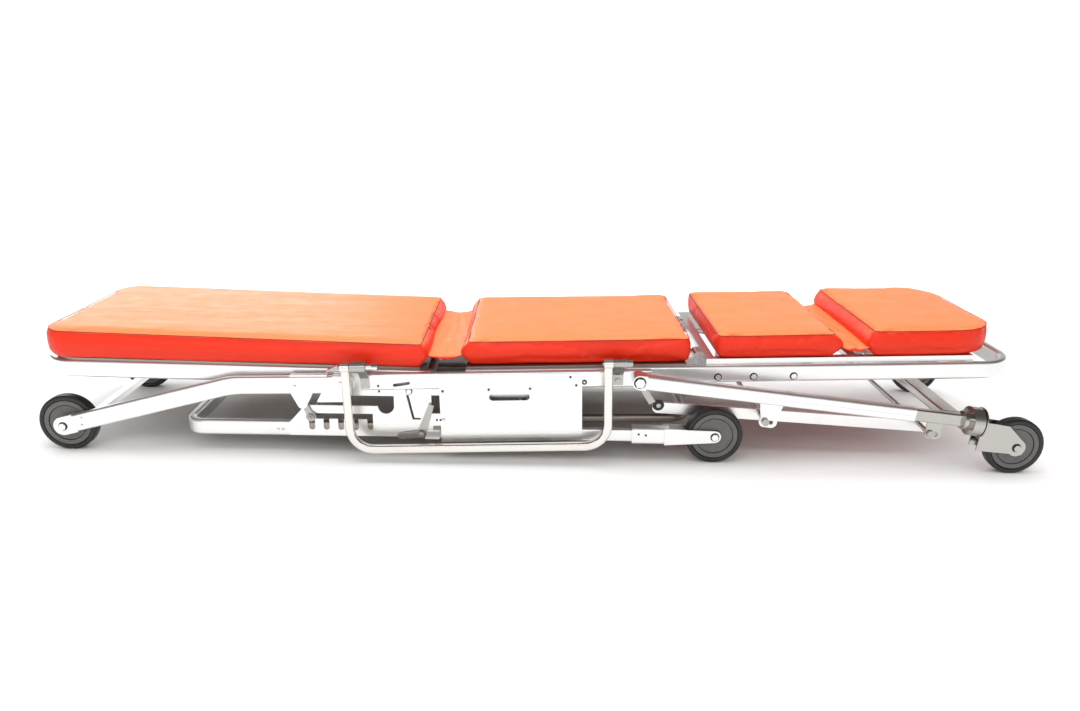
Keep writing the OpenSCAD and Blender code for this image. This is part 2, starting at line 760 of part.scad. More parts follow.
module front_leg(far) {
    slope_end = -front_slope_l;
    color(bright) far_side(far) on_front_leg() {
        difference() {
            union() {
                front_leg_tubes();
                // Cast root with a round end
                slab(front_leg_in, front_leg_out) {
                    translate([-18, -front_root_r]) square([24, 2 * front_root_r]);
                    translate([6, 0]) circle(r = front_root_r);
                }
                // Bracket folded round the leg at its pivot
                slab(front_leg_out, front_leg_out + 2.5)
                    polygon([[-23, 18], [-51, -33], [14, -33], [14, -19], [20, 0], [16, 18]]);
                slab(front_leg_in + 0.5, front_leg_out + 2.5) translate([-51, -35.5]) square([65, 2.5]);
                slab(front_leg_in + 0.5, front_leg_in + 3)
                    polygon([[-40, -15], [-51, -33], [14, -33], [14, -15]]);
            }
            pin_out(0, 0, front_leg_in - 1, front_leg_out + 4, front_pin_r + run_gap);
        }
        // Triangular lug for the height link
        slab(front_leg_out - 6, front_leg_out - 2) {
            polygon([[-106, -17], [lug_x - 9, lug_z - 3], [lug_x + 9, lug_z - 3], [-60, -17]]);
            translate([lug_x, lug_z]) circle(r = 9.5);
        }
        pin_out(lug_x, lug_z, plate_out + 7, front_leg_out, lug_pin_r);
        rivet(-96, -1, front_leg_out - front_skin);
        // Strap on top of the leg
        along_x(-105, -28, -(front_leg_in + front_leg_w / 2), front_leg_h / 2 + 1.5)
            square([front_leg_w - 4, 3], center = true);
        on_front_slope() {
            // Cast end that carries the wheel axle
            difference() {
                slab(front_leg_in, front_leg_out) {
                    translate([slope_end, 0]) circle(r = front_end_r);
                    translate([slope_end, -front_end_r]) square([26, 2 * front_end_r]);
                }
                pin_out(slope_end, 0, front_leg_in - 1, front_leg_out + 1, axle_r);
            }
            for (p = [[44, 8], [39, -7]]) rivet(slope_end + p[0], p[1], front_leg_out - front_skin, 2.5);
            pin_out(slope_end, 0, front_wheel_y - wheel_w / 2 - 3, front_leg_out + 2, axle_r);
            bolt_head(slope_end, 0, front_leg_out, 13, 4);
            pin_out(slope_end, 0, front_wheel_y - wheel_w / 2 - 5, front_wheel_y - wheel_w / 2 - 1, 9);
        }
    }
}

module front_cross_bar() {
    color(metal) on_front_leg() on_front_slope() translate([-front_slope_l + 72, 0, 8])
        cube([24, 2 * front_leg_in, 12], center = true);
}

// Height rod in the notched plates, and the links that join it to the front legs

link_x = front_pivot_x + lug_x;
link_z = front_pivot_z + lug_z;
link_l = norm([link_x - notch_x0, link_z - notch_run_z]);
link_angle = atan2(link_z - notch_run_z, link_x - notch_x0);

module height_rod() {
    color(metal) rod_across(notch_x0, notch_run_z, plate_out + 6.2, rod_r);
}

module height_link(far) {
    y0 = plate_out + 2;
    color(metal) far_side(far) translate([notch_x0, 0, notch_run_z]) rotate([0, -link_angle, 0]) {
        difference() {
            slab(y0, y0 + 3.5) {
                circle(r = 10.5);
                translate([0, -6]) square([link_l, 12]);
                translate([link_l, 0]) circle(r = 7);
            }
            pin_out(0, 0, y0 - 1, y0 + 5, rod_r + run_gap);
        }
    }
}

// Rear legs

rear_edge = 6;
stem_x0 = 470;
collar_x0 = 684;
tri_x = 280;
tri_z = -59;
lug2_x = 625;
lug2_z = -42;
cross_rod_r = 5;
lug_t = 3;

module rear_leg(far) {
    y = -rear_leg_y;
    color(bright) far_side(far) on_rear_leg() {
        difference() {
            union() {
                along_x(12, rear_tube_l, y, 0) tube_section(rear_leg_w, rear_leg_h, rear_edge, tube_wall);
                slab(rear_leg_in, rear_leg_out) {
                    circle(r = rear_leg_h / 2);
                    translate([0, -rear_leg_h / 2]) square([14, rear_leg_h]);
                }
            }
            pin_out(0, 0, rear_leg_in - 1, rear_leg_out + 1, pivot_tube_r);
            // Lengthwise groove of the extrusion
            slab(rear_leg_out - 0.8, rear_leg_out + 1) translate([30, -1]) square([rear_tube_l - 40, 2]);
        }
        // Triangular lug, slotted for a rod of the lock bars
        slab(rear_leg_in - lug_t, rear_leg_in) difference() {
            union() {
                polygon([
                    [tri_x - 28, -6], [tri_x - 13, tri_z - 6],
                    [tri_x + 13, tri_z - 6], [tri_x + 28, -6]
                ]);
                translate([tri_x, tri_z]) slot_2d(38, 24);
            }
            translate([tri_x, tri_z]) rod_slot();
        }
        // Spacer and strap beside the pivot
        difference() {
            pin_out(0, 0, seat_rail_out + 0.5, rear_leg_in, 15);
            pin_out(0, 0, seat_rail_out, rear_leg_in + 1, pivot_tube_r);
        }
        bolt_head(0, 0, rear_leg_out, 18, 5);
    }
}

// Slot in which a rod of the lock bars slides
module rod_slot() {
    slot_2d(lock_travel + 2 * cross_rod_r + 0.6, 2 * cross_rod_r + 0.4);
}

module rear_stem(far) {
    y = -rear_leg_y;
    stem_in = rear_leg_in + tube_wall;
    color(metal) far_side(far) on_rear_leg() {
        slab(stem_in - lug_t, stem_in) difference() {
            union() {
                polygon([
                    [lug2_x - 18, -6], [lug2_x - 15, lug2_z], [lug2_x + 15, lug2_z], [lug2_x + 18, -6]
                ]);
                translate([lug2_x, lug2_z]) slot_2d(34, 20);
            }
            translate([lug2_x, lug2_z]) rod_slot();
        }
        along_x(stem_x0, collar_x0, y, 0) tube_section(rear_leg_w - 2 * tube_wall,
            rear_leg_h - 2 * tube_wall, rear_edge - tube_wall, tube_wall);
        translate([collar_x0 - 14, y, 0]) rotate([0, 90, 0]) cylinder(h = 14, r = 19);
        translate([collar_x0, y, 0]) rotate([0, 90, 0]) cylinder(h = swivel_l - 2 - collar_x0, r = 30);
        translate([swivel_l - 3, y, 0]) rotate([0, 90, 0]) cylinder(h = 14, r = swivel_pin_r);
    }
}

swivel_pin_r = 8;

module rear_cross_bar() {
    color(metal) on_rear_leg() {
        across(650, 4, rear_leg_in + tube_wall) tube_section(40, 18, 4, tube_wall);
    }
}

module rear_pivot_tube() {
    color(metal) on_rear_leg() {
        rod_across(0, 0, rear_leg_out, pivot_tube_r);
        // Straps that guide the upper ends of the lock bars
        for (s = [0, 1]) mirror([0, s, 0]) slab(strap_y, strap_y + strap_t) difference() {
            union() {
                circle(r = pivot_tube_r + 4);
                polygon([[-8, -11], [roller_x - 20, roller_z], [roller_x - 8, roller_z + 8], [9, -11]]);
            }
            circle(r = pivot_tube_r);
        }
    }
}

// Lock bars under the rear legs, with a roller at the upper end

lock_y = 172;
lock_t = 8;
strap_t = 2.5;
strap_y = main_in - 0.8 - strap_t;
lock_rise = 5.5;
lock_tilt = atan((lug2_z - tri_z) / (lug2_x - tri_x));
roller_x = 59;
roller_z = -69;
roller_r = 12;

module lock_bar(far) {
    bar_x0 = (roller_x - tri_x) / cos(lock_tilt) + 6;
    bar_x1 = (lug2_x - tri_x) / cos(lock_tilt) + 16;
    color(metal) far_side(far) on_rear_leg() difference() {
        translate([tri_x - lock_travel / 2, 0, tri_z]) rotate([0, -lock_tilt, 0]) {
            slab(lock_y, lock_y + lock_t) {
                translate([bar_x0, -lock_rise - lock_bar_h / 2]) square([bar_x1 - bar_x0, lock_bar_h]);
                translate([bar_x0, -lock_rise]) circle(r = lock_bar_h / 2);
            }
            pin_out(bar_x0, -lock_rise, lock_y - 6, lock_y, roller_r);
        }
        for (p = [[tri_x, tri_z], [lug2_x, lug2_z]])
            pin_out(p[0] - lock_travel / 2, p[1], lock_y - 1, lock_y + lock_t + 1, cross_rod_r);
    }
}

// Rods that carry the lock bars and end in bolt heads outside the lugs
module lock_rods() {
    color(metal) on_rear_leg() for (p = [[tri_x, tri_z], [lug2_x, lug2_z]]) {
        rod_across(p[0] - lock_travel / 2, p[1], rear_leg_in + tube_wall + 0.4, cross_rod_r);
        for (s = [0, 1]) mirror([0, s, 0])
            bolt_head(p[0] - lock_travel / 2, p[1], rear_leg_in + tube_wall + 0.4, 14, 4.5);
    }
}

// Swivel forks of the rear wheels

axle_u = (wheelbase_x - rear_pivot_x) * cos(rear_slope) + (rear_pivot_z - wheel_r) * sin(rear_slope);
axle_w = (wheelbase_x - rear_pivot_x) * sin(rear_slope) - (rear_pivot_z - wheel_r) * cos(rear_slope);
caster_half = wheel_w / 2 + side_gap;

module caster_fork(far) {
    y = -rear_leg_y;
    plate_x0 = swivel_l + 1;
    color(bright) far_side(far) on_rear_leg() {
        difference() {
            union() {
                translate([swivel_l, y, 0]) rotate([0, 90, 0]) cylinder(h = 3, r = 31);
                translate([plate_x0, y - caster_half - fork_t, -34])
                    cube([4, 2 * (caster_half + fork_t), 50]);
            }
            translate([swivel_l - 1, y, 0]) rotate([0, 90, 0]) cylinder(h = 8, r = swivel_pin_r + run_gap);
        }
        for (s = [-1, 1]) slab(-y + s * (caster_half + fork_t / 2) - fork_t / 2,
                -y + s * (caster_half + fork_t / 2) + fork_t / 2) difference() {
            union() {
                polygon([
                    [plate_x0, 4], [764, 3], [axle_u + 15, axle_w + 11],
                    [axle_u + 15, axle_w - 14], [plate_x0, -58]
                ]);
                translate([axle_u, axle_w]) circle(r = 18.5);
            }
            translate([axle_u, axle_w]) circle(r = axle_r);
        }
        pin_out(axle_u, axle_w, -y - caster_half - fork_t - 2, -y + caster_half + fork_t + 1, axle_r);
        bolt_head(axle_u, axle_w, -y + caster_half + fork_t, 13, 5);
    }
}

// Wheels: a rubber tyre on a grooved hub

module at_wheel(x, y, far) {
    far_side(far) translate([x, -y, wheel_r]) rotate([90, 0, 0]) children();
}

module tyre() {
    color(rubber) rotate_extrude() difference() {
        translate([(rim_r + wheel_r) / 2, 0]) bar_section(wheel_r - rim_r, wheel_w, 5);
        translate([rim_r - eps, -wheel_w / 4]) square([1.5, wheel_w / 2]);
    }
}

module hub() {
    color(metal) rotate_extrude() difference() {
        union() {
            translate([axle_r + run_gap, -wheel_w / 2]) square([8, wheel_w]);
            translate([axle_r + run_gap, -6]) square([rim_r - axle_r - run_gap - 2, 12]);
            translate([rim_r - 9, -wheel_w / 2 + 1.5]) square([9, wheel_w - 3]);
            translate([rim_r - 1, -wheel_w / 4]) square([2.4, wheel_w / 2]);
            translate([14, -wheel_w / 2 + 3]) square([rim_r - 25, wheel_w - 6]);
        }
    }
}

// Release levers beside the lower bars

lever_x = -243;
lever_z = 51;
lever_pin_r = 4;

module release_lever(far) {
    y0 = plate_out + 3;
    color(metal) far_side(far) difference() {
        union() {
            pin_out(lever_x, lever_z, y0, y0 + 3, 10);
            slab(y0, y0 + 3) translate([lever_x, lever_z])
                polygon([[-46, -13], [-52, -7], [-49, -1], [-8, 5], [16, 66], [27, 63], [7, -8]]);
        }
        pin_out(lever_x, lever_z, y0 - 1, y0 + 4, lever_pin_r + run_gap);
    }
}

// Guard rails, hung beside the seat

eye_r = 10;

module guard_rail_path(w, t, edge, top) {
    bottom = guard_hinge_w - guard_drop;
    for (x = [guard_x0, guard_x1])
        translate([x, -guard_half, bottom + guard_bend]) linear_extrude(top - bottom - guard_bend)
            bar_section(w, t, edge);
    for (c = [[guard_x0 + guard_bend, 180], [guard_x1 - guard_bend, 270]])
        translate([c[0], -guard_half, bottom + guard_bend]) rotate([90, 0, 0]) rotate([0, 0, c[1]])
            rotate_extrude(angle = 90) translate([guard_bend, 0]) bar_section(w, t, edge);
    translate([guard_x0 + guard_bend, -guard_half, bottom]) rotate([90, 0, 90])
        linear_extrude(guard_x1 - guard_x0 - 2 * guard_bend) bar_section(t, w, edge);
}

module guard_rail(far) {
    color(metal) far_side(far) on_bed() difference() {
        union() {
            difference() {
                guard_rail_path(guard_tube_w, guard_tube_t, 5, guard_hinge_w);
                guard_rail_path(guard_tube_w - 2 * tube_wall, guard_tube_t - 2 * tube_wall, 3,
                    guard_hinge_w - 14);
            }
            for (x = [guard_x0, guard_x1]) translate([x - guard_tube_w / 2, -guard_half, guard_hinge_w])
                rotate([0, 90, 0]) cylinder(h = guard_tube_w, r = eye_r);
        }
        for (x = [guard_x0, guard_x1]) translate([x - guard_tube_w, -guard_half, guard_hinge_w])
            rotate([0, 90, 0]) cylinder(h = 2 * guard_tube_w, r = guard_pin_r + run_gap);
    }
}

bracket_foot_t = 4;

// Bracket section, drawn across and up: a foot on the rail's face and an arm out to the eye
module bracket_section() {
    out = guard_half - seat_rail_out;
    translate([0, -12]) square([bracket_foot_t, 40]);
    polygon([[0, 18], [bracket_foot_t, 10], [out, guard_hinge_w - 8], [out, guard_hinge_w + 8], [0, 28]]);
    translate([out, guard_hinge_w]) circle(r = 8);
}

module guard_bracket_piece(x0, x1) {
    translate([x0, -seat_rail_out, 0]) rotate([90, 0, 90])
        linear_extrude(x1 - x0) mirror([1, 0, 0]) bracket_section();
}

knob_r = 6;
knob_l = 24;
knob_stand_off = 0.3;
knob_stem_r = 2.5;

module guard_bracket(far) {
    eye_x1 = guard_x0 + guard_tube_w / 2 + side_gap;
    inner_x0 = max(seat_rail_x0, eye_x1);
    inner_x1 = inner_x0 + 18;
    pin_x0 = guard_x0 - guard_tube_w / 2 - 4;
    outer_x0 = guard_x1 + guard_tube_w / 2 + side_gap;
    outer_x1 = outer_x0 + 22;
    color(metal) far_side(far) on_bed() {
        difference() {
            union() {
                guard_bracket_piece(inner_x0, inner_x1);
                translate([eye_x1, -guard_half, guard_hinge_w]) rotate([0, 90, 0])
                    cylinder(h = inner_x1 - eye_x1, r = eye_r + 1);
                translate([pin_x0, -guard_half, guard_hinge_w]) rotate([0, 90, 0])
                    cylinder(h = inner_x1 - pin_x0, r = guard_pin_r);
            }
            translate([inner_x1 - 16, -guard_half, guard_hinge_w]) rotate([0, 90, 0])
                cylinder(h = 17, r = knob_stem_r + run_gap);
        }
        // Wedge on the pin's free end
        translate([pin_x0 - 26, -guard_half, guard_hinge_w]) rotate([90, 0, 0])
            linear_extrude(12, center = true) polygon([[0, -8], [26, -3], [26, 7], [4, -4]]);
        guard_bracket_piece(outer_x0, outer_x1);
        bolt_head((outer_x0 + outer_x1) / 2, -3, seat_rail_out + bracket_foot_t, 11, 4);
        translate([guard_x1 - guard_tube_w / 2 - 3, -guard_half, guard_hinge_w]) rotate([0, 90, 0])
            cylinder(h = outer_x1 - guard_x1 + guard_tube_w / 2 + 18, r = guard_pin_r);
        // Ring and hexagon nut on the pin's outer end
        translate([outer_x1, -guard_half, guard_hinge_w]) rotate([0, 90, 0]) {
            translate([0, 0, -6]) cylinder(h = 6, r = eye_r - 1);
            cylinder(h = 4, r = eye_r);
            cylinder(h = 16, r = 7.5, $fn = 6);
        }
    }
}

module guard_knob(far) {
    x0 = max(seat_rail_x0, guard_x0 + guard_tube_w / 2 + side_gap) + 18;
    color(metal) far_side(far) on_bed() translate([x0, -guard_half, guard_hinge_w]) rotate([0, 90, 0]) {
        translate([0, 0, knob_stand_off]) cylinder(h = knob_l, r = knob_r);
        translate([0, 0, knob_l / 2]) cylinder(h = knob_l / 2, r1 = knob_r, r2 = knob_r + 2.5);
        translate([0, 0, -14]) cylinder(h = 15, r = knob_stem_r);
    }
}

main_frame();
seat_rail(false);  // seat_rail_near
seat_rail(true);  // seat_rail_far
side_plate(false);  // side_plate_near
side_plate(true);  // side_plate_far
cover_panel(false);  // cover_panel_near
cover_panel(true);  // cover_panel_far
lower_frame();
wheel_fork(false);  // wheel_fork_near
wheel_fork(true);  // wheel_fork_far
cross_tubes();
seat_deck();
seat_pad();
guard_bracket(false);  // guard_bracket_near
guard_bracket(true);  // guard_bracket_far
back_frame();
back_deck();
back_pad();
back_web();
leg_deck();
calf_pad();
foot_pad();
leg_web();
front_leg(false);  // front_leg_near
front_leg(true);  // front_leg_far
front_cross_bar();
height_rod();
height_link(false);  // height_link_near
height_link(true);  // height_link_far
rear_leg(false);  // rear_leg_near
rear_leg(true);  // rear_leg_far
rear_stem(false);  // rear_stem_near
rear_stem(true);  // rear_stem_far
rear_cross_bar();
rear_pivot_tube();
lock_bar(false);  // lock_bar_near
lock_bar(true);  // lock_bar_far
lock_rods();
caster_fork(false);  // caster_fork_near
caster_fork(true);  // caster_fork_far
release_lever(false);  // release_lever_near
release_lever(true);  // release_lever_far
guard_rail(false);  // guard_rail_near
guard_rail(true);  // guard_rail_far
guard_knob(false);  // guard_knob_near
guard_knob(true);  // guard_knob_far
at_wheel(-wheelbase_x, front_wheel_y, false) tyre();  // front_tyre_near
at_wheel(-wheelbase_x, front_wheel_y, true) tyre();  // front_tyre_far
at_wheel(-wheelbase_x, front_wheel_y, false) hub();  // front_hub_near
at_wheel(-wheelbase_x, front_wheel_y, true) hub();  // front_hub_far
at_wheel(mid_wheel_x, mid_wheel_y, false) tyre();  // mid_tyre_near
at_wheel(mid_wheel_x, mid_wheel_y, true) tyre();  // mid_tyre_far
at_wheel(mid_wheel_x, mid_wheel_y, false) hub();  // mid_hub_near
at_wheel(mid_wheel_x, mid_wheel_y, true) hub();  // mid_hub_far
at_wheel(wheelbase_x, rear_leg_y, false) tyre();  // rear_tyre_near
at_wheel(wheelbase_x, rear_leg_y, true) tyre();  // rear_tyre_far
at_wheel(wheelbase_x, rear_leg_y, false) hub();  // rear_hub_near
at_wheel(wheelbase_x, rear_leg_y, true) hub();  // rear_hub_far
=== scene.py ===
"""A folding ambulance stretcher, folded low, on a pale floor. Metres, in the row's frame."""
import json
import math
import random

import bmesh
import bpy
from mathutils import Matrix, Vector
from mathutils.bvhtree import BVHTree
from mathutils.kdtree import KDTree
from mathutils.noise import noise

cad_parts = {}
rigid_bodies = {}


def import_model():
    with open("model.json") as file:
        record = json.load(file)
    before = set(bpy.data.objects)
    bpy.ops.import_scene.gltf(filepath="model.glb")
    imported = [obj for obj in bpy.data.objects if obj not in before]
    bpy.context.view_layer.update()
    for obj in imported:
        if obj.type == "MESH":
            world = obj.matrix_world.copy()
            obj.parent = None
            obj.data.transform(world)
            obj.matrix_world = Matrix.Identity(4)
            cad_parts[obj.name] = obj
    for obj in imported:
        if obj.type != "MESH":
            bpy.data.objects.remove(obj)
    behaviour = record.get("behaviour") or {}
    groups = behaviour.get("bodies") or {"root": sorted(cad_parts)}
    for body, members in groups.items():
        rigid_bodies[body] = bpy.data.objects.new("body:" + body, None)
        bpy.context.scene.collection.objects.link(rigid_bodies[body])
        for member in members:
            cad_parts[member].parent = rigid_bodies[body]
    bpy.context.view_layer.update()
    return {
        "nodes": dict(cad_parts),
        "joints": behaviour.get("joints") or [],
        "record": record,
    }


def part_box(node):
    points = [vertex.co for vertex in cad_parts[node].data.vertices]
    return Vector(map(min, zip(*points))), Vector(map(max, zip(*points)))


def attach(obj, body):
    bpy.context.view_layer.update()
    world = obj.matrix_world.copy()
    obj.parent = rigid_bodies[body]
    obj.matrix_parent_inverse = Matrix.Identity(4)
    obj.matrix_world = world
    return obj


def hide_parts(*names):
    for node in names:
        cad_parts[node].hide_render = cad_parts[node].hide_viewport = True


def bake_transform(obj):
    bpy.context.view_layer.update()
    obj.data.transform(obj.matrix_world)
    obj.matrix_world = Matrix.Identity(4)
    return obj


for startup_object in list(bpy.data.objects):
    bpy.data.objects.remove(startup_object)

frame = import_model()
nodes = frame["nodes"]
joints = {j["name"]: j for j in frame["joints"]}

# The bed's rake is the direction of the guard rails' hinge line
BED_RAKE = math.asin(joints["guard_fold_far"]["axis"][2])
# How far the back pad rises toward the head end
BACK_RAKE = math.radians(0.8)
# Height of the rails' middle line at x = 0
RAIL_LEVEL = 0.1775
MM = 0.001


def on_bed(x, height):
    """A point of the raked bed, in millimetres along it and over its rails, as x and z in the row's frame."""
    x, height = x * MM, height * MM
    return (x * math.cos(BED_RAKE) - height * math.sin(BED_RAKE),
            RAIL_LEVEL + x * math.sin(BED_RAKE) + height * math.cos(BED_RAKE))


# Camera

LENS_MM = 28.57
SENSOR_MM = 36.0
CAMERA_AT = Vector((-0.01313, -1.87761, 0.7647))
CAMERA_YAW = math.radians(0.55)
CAMERA_PITCH = math.radians(17.85)
CAMERA_ROLL = math.radians(1.08)


def make_camera():
    forward = Vector((math.sin(CAMERA_YAW) * math.cos(CAMERA_PITCH),
                      math.cos(CAMERA_YAW) * math.cos(CAMERA_PITCH),
                      -math.sin(CAMERA_PITCH)))
    level = Vector((math.cos(CAMERA_YAW), -math.sin(CAMERA_YAW), 0))
    upright = level.cross(forward)
    right = math.cos(CAMERA_ROLL) * level + math.sin(CAMERA_ROLL) * upright
    up = -math.sin(CAMERA_ROLL) * level + math.cos(CAMERA_ROLL) * upright
    data = bpy.data.cameras.new("camera")
    data.lens = LENS_MM
    data.sensor_width = SENSOR_MM
    data.sensor_fit = "HORIZONTAL"
    data.clip_end = 100
    camera = bpy.data.objects.new("camera", data)
    bpy.context.scene.collection.objects.link(camera)
    turn = Matrix((right, up, -forward)).transposed().to_4x4()
    camera.matrix_world = Matrix.Translation(CAMERA_AT) @ turn
    bpy.context.scene.camera = camera


# Node helpers

def new_material(name):
    mat = bpy.data.materials.new(name)
    mat.use_nodes = True
    tree = mat.node_tree
    return mat, tree, tree.nodes["Principled BSDF"]


def add(tree, kind, **values):
    """A new node with the given settings."""
    node = tree.nodes.new(kind)
    for key, value in values.items():
        setattr(node, key, value)
    return node


def stretched(tree, scale):
    """Object coordinates, scaled along each axis."""
    coord = add(tree, "ShaderNodeTexCoord")
    mapping = add(tree, "ShaderNodeMapping")
    mapping.inputs["Scale"].default_value = scale
    tree.links.new(coord.outputs["Object"], mapping.inputs["Vector"])
    return mapping.outputs["Vector"]


def noise_of(tree, vector, scale, detail=4.0, rough=0.55):
    tex = add(tree, "ShaderNodeTexNoise")
    tex.inputs["Scale"].default_value = scale
    tex.inputs["Detail"].default_value = detail
    tex.inputs["Roughness"].default_value = rough
    tree.links.new(vector, tex.inputs["Vector"])
    return tex.outputs["Fac"]


def ramp(tree, fac, stops):
    node = add(tree, "ShaderNodeValToRGB")
    points = node.color_ramp.elements
    points[0].position, points[0].color = stops[0][0], (*stops[0][1], 1)
    points[1].position, points[1].color = stops[-1][0], (*stops[-1][1], 1)
    for position, color in stops[1:-1]:
        point = points.new(position)
        point.color = (*color, 1)
    tree.links.new(fac, node.inputs["Fac"])
    return node.outputs["Color"]


# Most values of a noise texture lie between these
NOISE_LOW = 0.3
NOISE_HIGH = 0.7


def spread(tree, fac, low, high):
    """A noise value mapped from its middle range to low..high."""
    node = add(tree, "ShaderNodeMapRange")
    node.inputs["From Min"].default_value = NOISE_LOW
    node.inputs["From Max"].default_value = NOISE_HIGH
    node.inputs["To Min"].default_value = low
    node.inputs["To Max"].default_value = high
    tree.links.new(fac, node.inputs["Value"])
    return node.outputs["Result"]


def bump(tree, shader, height, strength, distance, under=None):
    node = add(tree, "ShaderNodeBump")
    node.inputs["Strength"].default_value = strength
    node.inputs["Distance"].default_value = distance
    tree.links.new(height, node.inputs["Height"])
    if under:
        tree.links.new(under, node.inputs["Normal"])
    tree.links.new(node.outputs["Normal"], shader.inputs["Normal"])
    return node.outputs["Normal"]


def distance_share(tree, scale, start, end):
    """From 0 to 1 between two distances from the origin, measured on scaled object coordinates."""
    away = add(tree, "ShaderNodeVectorMath", operation="LENGTH")
    tree.links.new(stretched(tree, scale), away.inputs[0])
    share = add(tree, "ShaderNodeMapRange", interpolation_type="SMOOTHSTEP")
    share.inputs["From Min"].default_value = start
    share.inputs["From Max"].default_value = end
    tree.links.new(away.outputs["Value"], share.inputs["Value"])
    return share.outputs["Result"]


def mix_color(tree, fac, a, b):
    """Colour a where fac is 0 and b where it is 1; each of them is a tuple or a socket."""
    node = add(tree, "ShaderNodeMix", data_type="RGBA")
    tree.links.new(fac, node.inputs[0])
    for socket, value in ((node.inputs[6], a), (node.inputs[7], b)):
        if isinstance(value, tuple):
            socket.default_value = (*value, 1)
        else:
            tree.links.new(value, socket)
    return node.outputs[2]


# Materials

# The red of the vinyl, and the orange painted on its tops as the light that falls on them
VINYL_SIDE = (0.82, 0.027, 0.003)
VINYL_LIT_TOP = (0.95, 0.26, 0.088)
# The upward part of a normal where a side ends and where a top begins; the tops' painted light grows between
# them
SIDE_NORMAL = 0.45
TOP_NORMAL = 0.93
SCUFFS = ((0.0, (0.93, 0.93, 0.93)), (0.5, (1, 1, 1)), (0.72, (1, 1, 1)), (0.8, (1.0, 0.97, 0.9)))
LEATHER_SCALE = 620
LEATHER_DEPTH = 0.00025
CREASE_DEPTH = 0.0022


def vinyl():
    """Coated fabric: red on the sides and orange on top as painted light, with a fine leather grain."""
    mat, tree, shader = new_material("vinyl")
    plain = stretched(tree, (1, 1, 1))
    geometry = add(tree, "ShaderNodeNewGeometry")
    split = add(tree, "ShaderNodeSeparateXYZ")
    tree.links.new(geometry.outputs["Normal"], split.inputs[0])
    patches = noise_of(tree, plain, 9, 5)
    # Painted light: the cover turns orange as its normal points up, a little unevenly
    top_light = add(tree, "ShaderNodeMapRange", interpolation_type="SMOOTHSTEP")
    top_light.inputs["From Min"].default_value = SIDE_NORMAL
    top_light.inputs["From Max"].default_value = TOP_NORMAL
    tree.links.new(split.outputs["Z"], top_light.inputs["Value"])
    uneven_top_light = add(tree, "ShaderNodeMath", operation="MULTIPLY")
    tree.links.new(top_light.outputs["Result"], uneven_top_light.inputs[0])
    tree.links.new(spread(tree, patches, 0.93, 1.0), uneven_top_light.inputs[1])
    color = mix_color(tree, uneven_top_light.outputs[0], VINYL_SIDE, VINYL_LIT_TOP)
    scuffs = noise_of(tree, stretched(tree, (3, 14, 14)), 7, 8, 0.65)
    scuffed = ramp(tree, scuffs, SCUFFS)
    product = add(tree, "ShaderNodeMix", data_type="RGBA", blend_type="MULTIPLY")
    product.inputs[0].default_value = 1
    tree.links.new(color, product.inputs[6])
    tree.links.new(scuffed, product.inputs[7])
    tree.links.new(product.outputs[2], shader.inputs["Base Color"])
    tree.links.new(spread(tree, noise_of(tree, plain, 26, 6), 0.36, 0.48), shader.inputs["Roughness"])
    shader.inputs["Specular IOR Level"].default_value = 0.36
    grain = add(tree, "ShaderNodeTexVoronoi", feature="F1")
    grain.inputs["Scale"].default_value = LEATHER_SCALE
    tree.links.new(plain, grain.inputs["Vector"])
    creases = noise_of(tree, stretched(tree, (7, 30, 30)), 1.6, 5, 0.6)
    under = bump(tree, shader, creases, 0.5, CREASE_DEPTH)
    bump(tree, shader, grain.outputs["Distance"], 0.25, LEATHER_DEPTH, under)
    return mat


# Metal that little light reaches, and over what distance it turns to its own colour
SHADE = (0.34, 0.3, 0.27)
SHADE_FADE = 0.02
STREAK_DEPTH = 0.00015


def brushed(name, color, rough, along=(3, 260, 260), marks=0.06, dark_up_to=0.0):
    """Drawn metal: streaks, a few dull patches, and shade up to dark_up_to from the middle of the bed."""
    mat, tree, shader = new_material(name)
    shader.inputs["Metallic"].default_value = 1
    streaks = noise_of(tree, stretched(tree, along), 1, 6, 0.6)
    dull = noise_of(tree, stretched(tree, (1, 1, 1)), 24, 5, 0.6)
    darker = tuple(c * 0.95 for c in color)
    tone = mix_color(tree, spread(tree, dull, 0.0, 1.0), darker, color)
    if dark_up_to:
        lit = distance_share(tree, (1, 0, 0), dark_up_to, dark_up_to + SHADE_FADE)
        tone = mix_color(tree, lit, SHADE, tone)
    tree.links.new(tone, shader.inputs["Base Color"])
    total = add(tree, "ShaderNodeMath", operation="ADD")
    tree.links.new(spread(tree, streaks, rough - marks / 2, rough + marks / 2), total.inputs[0])
    tree.links.new(spread(tree, dull, 0.0, marks * 0.5), total.inputs[1])
    tree.links.new(total.outputs[0], shader.inputs["Roughness"])
    bump(tree, shader, streaks, 0.12, STREAK_DEPTH)
    return mat


MOULDED_DEPTH = 0.0001


def moulded(name, color, rough, grain=900):
    """Moulded rubber or plastic with a fine grain and dusty patches."""
    mat, tree, shader = new_material(name)
    plain = stretched(tree, (1, 1, 1))
    dust = noise_of(tree, plain, 40, 7, 0.65)
    paler = tuple(min(c * 1.4 + 0.004, 1) for c in color)
    tree.links.new(mix_color(tree, spread(tree, dust, 0.0, 0.8), color, paler), shader.inputs["Base Color"])
    tree.links.new(spread(tree, dust, rough - 0.05, rough + 0.12), shader.inputs["Roughness"])
    bump(tree, shader, noise_of(tree, plain, grain, 3), 0.3, MOULDED_DEPTH)
    return mat


